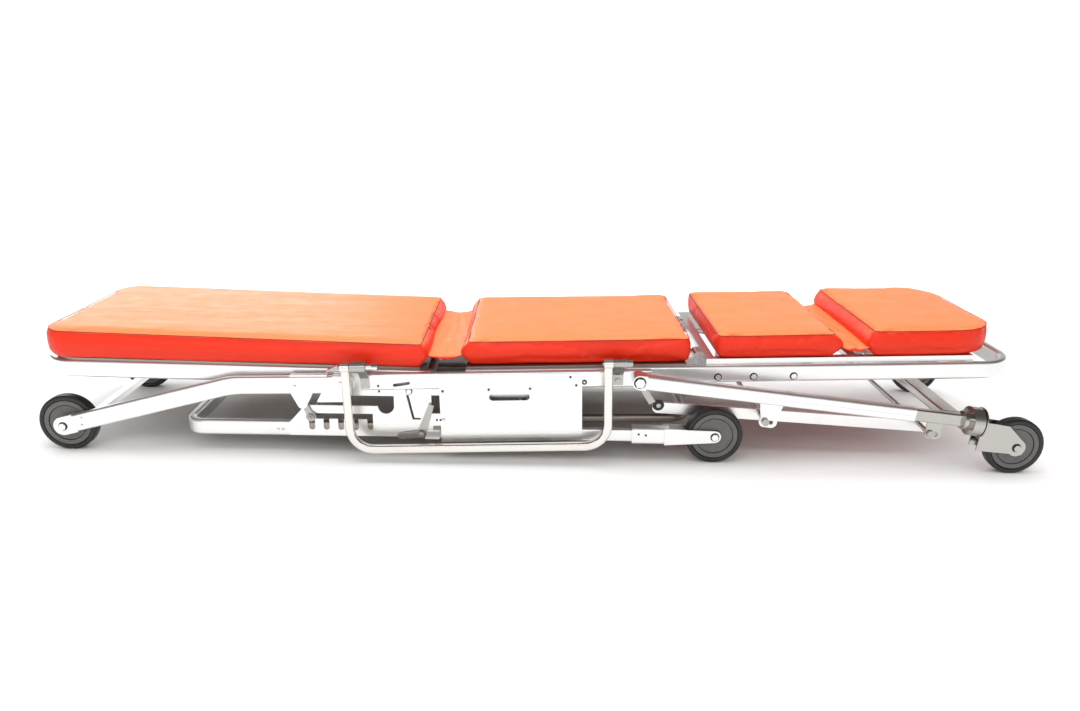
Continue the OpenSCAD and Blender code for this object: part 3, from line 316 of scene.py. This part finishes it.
MATERIALS = {
    "vinyl": vinyl(),
    "aluminium": brushed("aluminium", (0.9, 0.9, 0.895), 0.3),
    "steel": brushed("steel", (0.45, 0.44, 0.42), 0.27, along=(60, 60, 60)),
    "chrome": brushed("chrome", (0.8, 0.77, 0.73), 0.14, marks=0.04),
    "tyre": moulded("tyre", (0.008, 0.008, 0.008), 0.38),
    "wheel_disc": moulded("wheel_disc", (0.1, 0.097, 0.092), 0.4),
    # The seam is the vinyl's red, darkened as painted shade
    "seam": moulded("seam", (0.32, 0.018, 0.005), 0.5, grain=1500),
    # Darker metal as painted dark reflections, for the rear stems, the cross bar and the caster forks
    "polished": brushed("polished", (0.5, 0.49, 0.465), 0.17, marks=0.04),
    # Aluminium in painted shade: all of it, and for the lower frame only near the middle of the bed
    "underside": brushed("underside", SHADE, 0.4),
    "under_plate": brushed("under_plate", (0.9, 0.9, 0.895), 0.3, dark_up_to=0.5),
    # Black: the rubber of the lock rollers, and painted shade for the discs and rings at rivets and bolts
    "black_rubber_and_painted_shade": moulded("black_rubber_and_painted_shade", (0.02, 0.018, 0.017), 0.55),
    # Dark metal: the height rod's springs, and as painted shade the washers under the release levers' nuts
    "dark_bolt": brushed("dark_bolt", (0.3, 0.28, 0.26), 0.35, along=(80, 80, 80)),
}
SLOT_OF = {s["node"]: s["material_slot"] for s in frame["record"]["subparts"]}
# Pieces that look different from the rest of their material: painted shade in the dark under the bed, else
# painted dark reflections
LOOKS = {
    "seat_deck": "underside", "back_deck": "underside", "cross_tubes": "underside",
    "lower_frame": "under_plate",
    "release_lever_near": "steel", "release_lever_far": "steel", "rear_cross_bar": "polished",
    "rear_stem_near": "polished", "rear_stem_far": "polished",
    "caster_fork_near": "polished", "caster_fork_far": "polished",
}


def dress_cad_nodes():
    for name, obj in nodes.items():
        obj.data.materials.clear()
        obj.data.materials.append(MATERIALS[LOOKS.get(name, SLOT_OF[name])])
        for poly in obj.data.polygons:
            poly.material_index = 0


# Pads

# The cloth run that swells a cover: its pressure, its frames and how far it may move a point
PRESSURE = 4
SIM_FRAMES = 14
SIM_CAP = 0.0022
CLOTH = {
    "quality": 5, "mass": 0.3, "tension_stiffness": 12, "compression_stiffness": 12, "shear_stiffness": 5,
    "bending_stiffness": 0.6, "use_pressure": True, "uniform_pressure_force": PRESSURE, "shrink_min": -0.012,
}
# Above this height over a pad's lowest point its cover is free to move
FREE_FROM = 0.016
VOXEL = 0.005
WELD = 0.0001
# How far slack wrinkles rise, and the shares of it for fine ones on the top and dents in the sides
WRINKLE = 0.0011
FINE_SHARE = 0.4
DENT_SHARE = 0.3
# Within this distance of a point of its seam a cover keeps the CAD's cut edge, and within the next the
# seam's line
EDGE_REACH = 0.011
EDGE_LINE = 0.0024
SEAM_RADIUS = 0.0009
# The share of its radius by which a seam's points stand off the cover
SEAM_LIFT = 0.1
# How far a pad's seam lies under the top of its crown
SEAM_DROP = 0.0068
# Least distance between two points of a seam, and what counts as one point in the CAD mesh
SEAM_STEP = 0.003
SAME_POINT = 0.00002


def copy_of(node, name):
    mesh = nodes[node].data.copy()
    obj = bpy.data.objects.new(name, mesh)
    bpy.context.scene.collection.objects.link(obj)
    mesh.materials.clear()
    mesh.materials.append(MATERIALS["vinyl"])
    for poly in mesh.polygons:
        poly.material_index = 0
    return obj


def apply_all(obj):
    """Applies every modifier of obj."""
    graph = bpy.context.evaluated_depsgraph_get()
    mesh = bpy.data.meshes.new_from_object(obj.evaluated_get(graph))
    obj.modifiers.clear()
    obj.data = mesh


def smooth_shaded(mesh):
    for poly in mesh.polygons:
        poly.use_smooth = True


def voxel_remesh(obj):
    """Even small faces in place of the CAD mesh, whose faces don't share their points."""
    weld = obj.modifiers.new("weld", "WELD")
    weld.merge_threshold = WELD
    remesh = obj.modifiers.new("remesh", "REMESH")
    remesh.mode = "VOXEL"
    remesh.voxel_size = VOXEL
    smooth = obj.modifiers.new("smooth", "SMOOTH")
    smooth.factor = 0.35
    smooth.iterations = 1
    apply_all(obj)


def inflate(obj, free_from):
    """Cloth with pressure; no point moves further than SIM_CAP, and none below free_from moves."""
    before = [v.co.copy() for v in obj.data.vertices]
    cloth = obj.modifiers.new("cloth", "CLOTH")
    for key, value in CLOTH.items():
        setattr(cloth.settings, key, value)
    cloth.settings.effector_weights.gravity = 0
    scene = bpy.context.scene
    cloth.point_cache.frame_start = 1
    cloth.point_cache.frame_end = SIM_FRAMES
    for step in range(1, SIM_FRAMES + 1):
        scene.frame_set(step)
    apply_all(obj)
    scene.frame_set(1)
    for vertex, old in zip(obj.data.vertices, before):
        move = vertex.co - old
        if old.z < free_from:
            vertex.co = old
        elif move.length > SIM_CAP:
            vertex.co = old + move * (SIM_CAP / move.length)


def local_frame(rake, origin):
    """Matrix from the row's frame to one laid along a pad that rises toward the head end by rake."""
    turn = Matrix.Rotation(-rake, 4, "Y")
    return turn @ Matrix.Translation(-Vector(origin))


def ripple(obj, free_from, seed):
    """Sculpts slack wrinkles into the top and a few soft dents into the sides, above free_from."""
    rng = random.Random(seed)
    shift = Vector((rng.uniform(0, 50), rng.uniform(0, 50), 0))
    mesh = obj.data
    normals = [v.normal.copy() for v in mesh.vertices]
    for vertex, normal in zip(mesh.vertices, normals):
        x, y, z = vertex.co
        if z < free_from:
            continue
        up = max(normal.z, 0.0)
        side = max(1.0 - abs(normal.z), 0.0)
        slack = noise(Vector((x * 5.0 + y * 4.0, y * 19.0 - x * 3.0, 0)) + shift)
        fine = noise(Vector((x * 13.0 - y * 9.0, y * 46.0, 1.7)) + shift)
        dent = noise(Vector((x * 9.0, z * 20.0, y * 9.0)) + shift)
        rise = up * (slack * WRINKLE + fine * WRINKLE * FINE_SHARE) + side * dent * WRINKLE * DENT_SHARE
        vertex.co += normal * rise


def sharpen(pad, sharp, ring):
    """Draws the cover back onto the cut shape near the ring's points, and onto the line closest to them.

    The points are dense at the corners only, so elsewhere the cover keeps its swollen form.
    """
    tree = BVHTree.FromObject(sharp, bpy.context.evaluated_depsgraph_get())
    line = KDTree(len(ring))
    for index, point in enumerate(ring):
        line.insert(point, index)
    line.balance()
    for vertex in pad.data.vertices:
        point, index, away = line.find(vertex.co)
        if away >= EDGE_REACH:
            continue
        if away < EDGE_LINE:
            along = (ring[(index + 1) % len(ring)] - ring[index - 1]).normalized()
            target = point + along * (vertex.co - point).dot(along)
            share = 1.0
        else:
            target = tree.find_nearest(vertex.co)[0]
            share = 1 - (away / EDGE_REACH) ** 2
        vertex.co = vertex.co.lerp(target, share)


def welt(obj, name, ring):
    """A sewn seam along a closed ring of points, each laid on obj's surface, and straight between them."""
    tree = BVHTree.FromObject(obj, bpy.context.evaluated_depsgraph_get())
    data = bpy.data.curves.new(name, "CURVE")
    data.dimensions = "3D"
    data.bevel_depth = SEAM_RADIUS
    data.bevel_resolution = 2
    spline = data.splines.new("POLY")
    spline.points.add(len(ring) - 1)
    spline.use_cyclic_u = True
    for point, target in zip(spline.points, ring):
        hit, normal = tree.find_nearest(target)[:2]
        point.co = (*(hit + normal * SEAM_RADIUS * SEAM_LIFT), 1)
    line = bpy.data.objects.new(name + "_line", data)
    bpy.context.scene.collection.objects.link(line)
    mesh = bpy.data.meshes.new_from_object(line.evaluated_get(bpy.context.evaluated_depsgraph_get()))
    bpy.data.objects.remove(line)
    mesh.materials.clear()
    mesh.materials.append(MATERIALS["seam"])
    for poly in mesh.polygons:
        poly.material_index = 0
    smooth_shaded(mesh)
    seam = bpy.data.objects.new(name, mesh)
    bpy.context.scene.collection.objects.link(seam)
    return seam


def ring_at(obj, to_local, height):
    """The outline of obj at a height of its local frame, as points in the row's frame.

    They are where the mesh's edges cross that height, at least SEAM_STEP apart: many at a corner, few along
    a side.
    """
    bm = bmesh.new()
    bm.from_mesh(obj.data)
    bm.transform(to_local)
    bmesh.ops.remove_doubles(bm, verts=bm.verts[:], dist=SAME_POINT)
    cut = bmesh.ops.bisect_plane(bm, geom=bm.verts[:] + bm.edges[:] + bm.faces[:],
                                 plane_co=(0, 0, height), plane_no=(0, 0, 1))
    verts = {v for v in cut["geom_cut"] if isinstance(v, bmesh.types.BMVert)}
    links = {v: [] for v in verts}
    for edge in cut["geom_cut"]:
        if isinstance(edge, bmesh.types.BMEdge):
            a, b = edge.verts
            links[a].append(b)
            links[b].append(a)
    start = max(verts, key=lambda v: (v.co.x, v.co.y))
    loop = [start]
    seen = {start}
    while True:
        onward = [v for v in links[loop[-1]] if v not in seen]
        if not onward:
            break
        loop.append(onward[0])
        seen.add(onward[0])
    back = to_local.inverted()
    points = [back @ v.co for v in loop]
    bm.free()
    kept = [points[0]]
    for point in points[1:]:
        if (point - kept[-1]).length >= SEAM_STEP:
            kept.append(point)
    return kept


def thicken(points, to_local, amount):
    """Raises the points of a pad by amount at its head end, in proportion to their height; returns them."""
    back = to_local.inverted()
    local = [to_local @ p for p in points]
    x0, x1 = min(p.x for p in local), max(p.x for p in local)
    z0, z1 = min(p.z for p in local), max(p.z for p in local)
    for p in local:
        p.z += amount * (x1 - p.x) / (x1 - x0) * max((p.z - z0) / (z1 - z0), 0)
    return [back @ p for p in local]


def make_pad(node, body, rake, seed, extra=0.0, short=0.0):
    """A cover with a seam; its head end is raised by extra and drawn in by short."""
    low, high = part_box(node)
    pad = copy_of(node, node + "_cover")
    to_local = local_frame(rake, (low + high) / 2)
    raised = thicken([v.co for v in pad.data.vertices], to_local, extra)
    for vertex, point in zip(pad.data.vertices, raised):
        point.x += short * (high.x - point.x) / (high.x - low.x)
        vertex.co = point
    sharp = copy_of(node, node + "_sharp")
    sharp.data = pad.data.copy()
    voxel_remesh(pad)
    inflate(pad, low.z + FREE_FROM)
    ripple(pad, low.z + FREE_FROM, seed)
    subdivide = pad.modifiers.new("subdivide", "SUBSURF")
    subdivide.levels = 1
    subdivide.render_levels = 1
    apply_all(pad)
    smooth_shaded(pad.data)
    pad.data.materials.clear()
    pad.data.materials.append(MATERIALS["vinyl"])
    tilt = local_frame(rake + math.atan(extra / (high.x - low.x)), (low + high) / 2)
    ring = ring_at(sharp, tilt, max((tilt @ v.co).z for v in sharp.data.vertices) - SEAM_DROP)
    sharpen(pad, sharp, ring)
    bpy.data.objects.remove(sharp)
    seam = welt(pad, node + "_seam", ring)
    seam.parent = pad
    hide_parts(node)
    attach(pad, body)


# Webs of cover cloth between two pads

WEB_ROWS = 24
WEB_COLUMNS = 90
WEB_T = 0.0016
# How much narrower a web is at mid span, as a share of its width
WEB_PINCH = 0.03
WEB_FOLD = 0.0035
WEB_CREASE = 0.0016
# The loose edges of a web turn down from here, as a share of its half width, and by this much
HEM_FROM = 0.95
HEM_DROP = 0.007
HEM_WANDER = 0.004


def make_web(name, node, near, far, sag, seed, body=None):
    """Slack cloth between two pads; without a body it is attached to none, and spans from the backrest to the
    chassis.
    """
    low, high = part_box(node)
    rng = random.Random(seed)
    shift = Vector((rng.uniform(0, 50), rng.uniform(0, 50), 0))
    bm = bmesh.new()
    grid = []
    for i in range(WEB_ROWS + 1):
        u = i / WEB_ROWS
        line = []
        for j in range(WEB_COLUMNS + 1):
            v = j / WEB_COLUMNS
            y = low.y + (high.y - low.y) * v
            pinch = 1 - WEB_PINCH * math.sin(math.pi * u)
            x = near[0] + (far[0] - near[0]) * u
            z = near[1] + (far[1] - near[1]) * u - sag * math.sin(math.pi * u) ** 0.8
            hold = math.sin(math.pi * u)
            fold = noise(Vector((x * 60 + y * 5, y * 10, 0)) + shift) * WEB_FOLD
            crease = noise(Vector((x * 26, y * 34, 4)) + shift) * WEB_CREASE
            hem = max(abs(2 * v - 1) - HEM_FROM, 0) / (1 - HEM_FROM)
            z += hold * (fold + crease) - HEM_DROP * hem ** 1.5 * hold
            y += hold * hem * noise(Vector((x * 70, 3, 0)) + shift) * HEM_WANDER
            line.append(bm.verts.new((x, y * pinch, z)))
        grid.append(line)
    for row, after in zip(grid, grid[1:]):
        for j in range(WEB_COLUMNS):
            bm.faces.new((row[j], row[j + 1], after[j + 1], after[j]))
    bmesh.ops.recalc_face_normals(bm, faces=bm.faces[:])
    mesh = bpy.data.meshes.new(name)
    bm.to_mesh(mesh)
    bm.free()
    web = bpy.data.objects.new(name, mesh)
    bpy.context.scene.collection.objects.link(web)
    mesh.materials.append(MATERIALS["vinyl"])
    thick = web.modifiers.new("thick", "SOLIDIFY")
    thick.thickness = WEB_T
    thick.offset = 0
    apply_all(web)
    smooth_shaded(web.data)
    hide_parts(node)
    if body:
        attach(web, body)
    else:
        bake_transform(web)


# Small hardware that the CAD leaves out, and painted shade round rivets and bolts

def new_object(name, data, material, body):
    obj = bpy.data.objects.new(name, data)
    bpy.context.scene.collection.objects.link(obj)
    data.materials.append(MATERIALS[material])
    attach(obj, body)


def turned(bm, profile, at, axis, sides):
    """Adds a turned form to bm; profile lists (radius, distance along axis)."""
    axis = Vector(axis).normalized()
    side = axis.orthogonal().normalized()
    other = axis.cross(side)
    rings = []
    for radius, along in profile:
        ring = []
        for k in range(sides):
            a = 2 * math.pi * k / sides
            out = side * math.cos(a) + other * math.sin(a)
            ring.append(bm.verts.new(Vector(at) + axis * along + out * radius))
        rings.append(ring)
    for a, b in zip(rings, rings[1:]):
        for k in range(sides):
            n = (k + 1) % sides
            bm.faces.new((a[k], a[n], b[n], b[k]))
    bm.faces.new(rings[0][::-1])
    bm.faces.new(rings[-1])


def turned_piece(name, parts, material, body):
    """One object from turned forms; parts lists (profile, point, axis, sides)."""
    bm = bmesh.new()
    for part in parts:
        turned(bm, *part)
    bmesh.ops.recalc_face_normals(bm, faces=bm.faces[:])
    mesh = bpy.data.meshes.new(name)
    bm.to_mesh(mesh)
    bm.free()
    new_object(name, mesh, material, body)


COIL_STEPS = 14


def coil(name, start, end, radius, wire, turns, material, body):
    """A wound spring between two points."""
    start, end = Vector(start), Vector(end)
    axis = (end - start).normalized()
    side = axis.orthogonal().normalized()
    other = axis.cross(side)
    data = bpy.data.curves.new(name, "CURVE")
    data.dimensions = "3D"
    data.bevel_depth = wire
    data.bevel_resolution = 2
    steps = turns * COIL_STEPS
    spline = data.splines.new("POLY")
    spline.points.add(steps)
    for k in range(steps + 1):
        a = 2 * math.pi * turns * k / steps
        out = side * math.cos(a) + other * math.sin(a)
        spline.points[k].co = (*(start.lerp(end, k / steps) + out * radius), 1)
    new_object(name, data, material, body)


# Radius and distance pairs of a washer, a hexagon nut and a rod's end
WASHER = ((0.0082, 0), (0.0082, 0.0012))
NUT = ((0.0068, 0.0012), (0.0072, 0.0018), (0.0072, 0.0052), (0.0066, 0.0058))
ROD_END = ((0.0036, 0.0058), (0.0036, 0.0078), (0.0028, 0.0086))
ROUND = 24
HEXAGON = 6

# Dark discs painted as the shade in rivet heads' sockets: node, body, x, z in metres and the rivet's radius
# in millimetres
RIVETS = [("cover_panel", "chassis", *on_bed(x, height), 3) for x, height in (
    (-197, -21), (-102, -19), (-17, -18), (78, -12), (66, 6), (-204, -84))]
RIVETS += [("seat_rail", "chassis", *on_bed(-329, -8), 2.5)]
RIVETS += [
    ("side_plate", "chassis", -0.33, 0.142, 2.5), ("side_plate", "chassis", -0.211, 0.08, 2),
    ("wheel_fork", "chassis", 0.212, 0.063, 2.5), ("wheel_fork", "chassis", 0.227, 0.061, 2.5)]
# Dark rings painted as the shade round bolt heads: node, body, x, z in metres and the ring's radius in
# millimetres
BOLT_SHADE_RINGS = [("main_frame", "chassis", *on_bed(x, -5.5), 8.2) for x in (373, 447, 530)]
BOLT_SHADE_RINGS += [
    ("seat_rail", "chassis", *on_bed(95, -6), 5.6),
    ("side_plate", "chassis", -0.268, 0.143, 7.4), ("wheel_fork", "chassis", 0.371, 0.06, 9.4),
    ("rear_leg", "rear_legs", 0.205, 0.187, 12.6), ("front_leg", "front_legs", -0.987, 0.06, 9.4),
    ("caster_fork", "caster", 0.987, 0.06, 9.4)]
SHADE_RING_T = 0.0004
SOCKET_R = 0.0022
# Half the height of a socket's dark disc of painted shade, and its taper
SOCKET_T = 0.0003
SOCKET_TAPER = 0.9
# A rivet head's height, as a share of its radius
HEAD_SHARE = 0.6
# A fastener's seat is looked for this many of its radii away, in so many directions
SEAT_REACH = 1.35
SEAT_LOOKS = 8
# The looks start this far from the middle plane, beyond every piece
OUTSIDE = 0.6


def seat_of(node, x, z, reach):
    """How far out the face of a node lies round a point, seen from its own side."""
    side = 1 if node.endswith("_far") else -1
    tree = BVHTree.FromObject(nodes[node], bpy.context.evaluated_depsgraph_get())
    found = []
    for k in range(SEAT_LOOKS):
        a = 2 * math.pi * k / SEAT_LOOKS
        start = Vector((x + reach * math.cos(a), OUTSIDE * side, z + reach * math.sin(a)))
        hit = tree.ray_cast(start, Vector((0, -side, 0)))[0]
        if hit:
            found.append(hit.y)
    return sorted(found)[len(found) // 2]


def both_sides(kind):
    """Each fastener of a list on both sides: its body, seat, outward direction and radius in metres."""
    for node, body, x, z, size in kind:
        for end, side in (("_near", -1), ("_far", 1)):
            name = node if node in nodes else node + end
            face = seat_of(name, x, z, size * MM * SEAT_REACH)
            if node == "main_frame":
                face = side * abs(face)
            yield (body + end if body == "caster" else body), Vector((x, face, z)), (0, side, 0), size * MM


# Painted shade: dark discs in the rivet heads and dark rings round the bolt heads, on both sides
def make_painted_shade_marks():
    parts = {}
    for body, at, out, radius in both_sides(RIVETS):
        top = HEAD_SHARE * radius
        profile = ((SOCKET_R, top - SOCKET_T), (SOCKET_R * SOCKET_TAPER, top + SOCKET_T))
        parts.setdefault(body, []).append((profile, at, out, ROUND))
    for body, at, out, radius in both_sides(BOLT_SHADE_RINGS):
        parts.setdefault(body, []).append((((radius, 0), (radius, SHADE_RING_T)), at, out, ROUND))
    for body, forms in parts.items():
        turned_piece("shade_marks_" + body, forms, "black_rubber_and_painted_shade", body)


# Rubber rollers on the head ends of the lock bars: centre, and profiles of the roller and its nut
ROLLER_AT = (0.256, 0.1802, 0.112)
ROLLER = ((0.012, 0), (0.0125, 0.0008), (0.012, 0.0016))
ROLLER_NUT = ((0.0052, 0.0016), (0.0052, 0.0046))


def make_rollers():
    rollers, bolts = [], []
    for side in (-1, 1):
        at = (ROLLER_AT[0], ROLLER_AT[1] * side, ROLLER_AT[2])
        rollers.append((ROLLER, at, (0, side, 0), ROUND))
        bolts.append((ROLLER_NUT, at, (0, side, 0), HEXAGON))
    turned_piece("lock_rollers", rollers, "black_rubber_and_painted_shade", "lock_bars")
    turned_piece("lock_roller_nuts", bolts, "steel", "lock_bars")


# How far out the release levers' pivot pins end
LEVER_PIN_END = 0.212
# The springs of the height rod: how far out they lie, and their ends over the rod's middle as x and z
SPRING_Y = 0.191
SPRING_FROM = (0.007, 0.003)
SPRING_TO = (0.052, 0.006)
SPRING_R = 0.0048
SPRING_WIRE = 0.0009
SPRING_TURNS = 11


def make_lever_nuts():
    for side, y in (("near", -LEVER_PIN_END), ("far", LEVER_PIN_END)):
        at = Vector(joints["release_" + side]["pos_m"])
        at.y = y
        out = (0, math.copysign(1, y), 0)
        # The washer's dark colour is painted shade round the nut
        turned_piece("lever_washer_" + side, [(WASHER, at, out, ROUND)], "dark_bolt", "chassis")
        turned_piece("lever_nut_" + side, [(NUT, at, out, HEXAGON)], "steel", "chassis")


def make_rod_ends():
    rod_low, rod_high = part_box("height_rod")
    rod_x = (rod_low.x + rod_high.x) / 2
    rod_z = (rod_low.z + rod_high.z) / 2
    nuts, ends = [], []
    for face, out in ((rod_low.y, (0, -1, 0)), (rod_high.y, (0, 1, 0))):
        at = (rod_x, face, rod_z)
        nuts += [(WASHER, at, out, ROUND), (NUT, at, out, HEXAGON)]
        ends.append((ROD_END, at, out, ROUND))
    turned_piece("rod_nuts", nuts + ends, "steel", "height_rod")
    for side, y in (("near", -SPRING_Y), ("far", SPRING_Y)):
        start, end = ((rod_x + dx, y, rod_z + dz) for dx, dz in (SPRING_FROM, SPRING_TO))
        coil("rod_spring_" + side, start, end, SPRING_R, SPRING_WIRE, SPRING_TURNS,
             "dark_bolt", "height_rod")


# Stage and light

PALE = (0.9, 0.895, 0.885)
# The floor's colour under the bed, darkened as a painted shadow
PAINTED_BED_SHADOW = (0.5, 0.48, 0.46)
FLOOR_REACH = 30


def make_stage():
    """A pale floor with a painted shadow under the bed, and plain white for the camera further out."""
    mesh = bpy.data.meshes.new("floor")
    corners = [(x * FLOOR_REACH, y * FLOOR_REACH, 0) for x, y in ((-1, -1), (1, -1), (1, 1), (-1, 1))]
    mesh.from_pydata(corners, [], [(0, 1, 2, 3)])
    floor = bpy.data.objects.new("floor", mesh)
    bpy.context.scene.collection.objects.link(floor)
    mat, tree, shader = new_material("floor")
    shader.inputs["Roughness"].default_value = 0.9
    # Painted shadow: the floor's colour darkens toward the middle under the bed
    near = distance_share(tree, (0.95, 3.6, 0), 0.55, 1.1)
    tree.links.new(mix_color(tree, near, PAINTED_BED_SHADOW, PALE), shader.inputs["Base Color"])
    shader.inputs["Emission Color"].default_value = (1, 1, 1, 1)
    path = add(tree, "ShaderNodeLightPath")
    seen = add(tree, "ShaderNodeMath", operation="MULTIPLY")
    tree.links.new(path.outputs["Is Camera Ray"], seen.inputs[0])
    tree.links.new(distance_share(tree, (0.6, 1, 0), 1.0, 2.2), seen.inputs[1])
    tree.links.new(seen.outputs[0], shader.inputs["Emission Strength"])
    mesh.materials.append(mat)


# Brightness of the surroundings by the height of a direction, for reflections only
SKY = ((0.0, (0.8, 0.8, 0.8)), (0.12, (0.75, 0.75, 0.75)), (0.3, (0.32, 0.31, 0.3)),
       (0.5, (0.14, 0.13, 0.12)), (0.8, (0.07, 0.065, 0.06)), (1.0, (0.2, 0.2, 0.2)))
# The same for the light that falls on surfaces
FILL = ((0.0, (0.14, 0.14, 0.14)), (0.35, (0.4, 0.4, 0.4)), (1.0, (1, 1, 1)))
WORLD_LIGHT = 1.45


def sideways_dimmed(tree, split, color):
    """Darker toward both ends of the room, so that bars show their edges."""
    sideways = add(tree, "ShaderNodeMath", operation="ABSOLUTE")
    tree.links.new(split.outputs["X"], sideways.inputs[0])
    dim = add(tree, "ShaderNodeMapRange", interpolation_type="SMOOTHSTEP")
    dim.inputs["From Min"].default_value = 0.6
    dim.inputs["From Max"].default_value = 0.92
    dim.inputs["To Min"].default_value = 1.0
    dim.inputs["To Max"].default_value = 0.25
    tree.links.new(sideways.outputs[0], dim.inputs["Value"])
    scaled = add(tree, "ShaderNodeVectorMath", operation="SCALE")
    tree.links.new(color, scaled.inputs[0])
    tree.links.new(dim.outputs["Result"], scaled.inputs["Scale"])
    return scaled.outputs["Vector"]


def make_world():
    """White light, strongest from above, and for reflections a bright horizon under a dim ceiling."""
    world = bpy.data.worlds.new("world")
    bpy.context.scene.world = world
    world.use_nodes = True
    tree = world.node_tree
    back = tree.nodes["Background"]
    coord = add(tree, "ShaderNodeTexCoord")
    split = add(tree, "ShaderNodeSeparateXYZ")
    tree.links.new(coord.outputs["Generated"], split.inputs[0])
    path = add(tree, "ShaderNodeLightPath")
    diffuse = ramp(tree, split.outputs["Z"], FILL)
    mirrored = sideways_dimmed(tree, split, ramp(tree, split.outputs["Z"], SKY))
    lit = mix_color(tree, path.outputs["Is Glossy Ray"], diffuse, mirrored)
    tree.links.new(mix_color(tree, path.outputs["Is Camera Ray"], lit, (1, 1, 1)), back.inputs["Color"])
    back.inputs["Strength"].default_value = WORLD_LIGHT


def area_light(name, at, aim, size, power, mirrored=True):
    """A rectangular lamp; one that isn't mirrored doesn't show in metal."""
    data = bpy.data.lights.new(name, "AREA")
    data.shape = "RECTANGLE"
    data.size, data.size_y = size
    data.energy = power
    lamp = bpy.data.objects.new(name, data)
    bpy.context.scene.collection.objects.link(lamp)
    lamp.visible_glossy = mirrored
    lamp.location = at
    lamp.rotation_euler = (Vector(aim) - Vector(at)).to_track_quat("-Z", "Y").to_euler()


def make_lights():
    area_light("top", (-0.3, 0.1, 2.8), (0, 0, 0.1), (3.4, 1.6), 40, mirrored=False)
    area_light("front", (-0.5, -3.0, 2.0), (0, 0, 0.15), (3.4, 1.2), 26)
    area_light("back_left", (-2.2, 3.0, 1.3), (-0.5, 0, 0.25), (2.6, 1.4), 26)


make_camera()
dress_cad_nodes()
make_stage()
make_world()
make_lights()
make_pad("back_pad", "backrest", BACK_RAKE, 3, extra=0.007, short=0.009)
make_pad("seat_pad", "chassis", -BED_RAKE, 5)
make_pad("calf_pad", "leg_rest", -BED_RAKE, 8)
make_pad("foot_pad", "leg_rest", -BED_RAKE, 11)
make_lever_nuts()
make_rod_ends()
make_painted_shade_marks()
make_rollers()
make_web("back_web_cloth", "back_web", (-0.2345, 0.2175), (-0.1565, 0.2185), 0.004, 21)
make_web("leg_web_cloth", "leg_web", (0.632, 0.2465), (0.6865, 0.2485), 0.003, 34, body="leg_rest")

view = bpy.context.scene.view_settings
view.view_transform = "Standard"
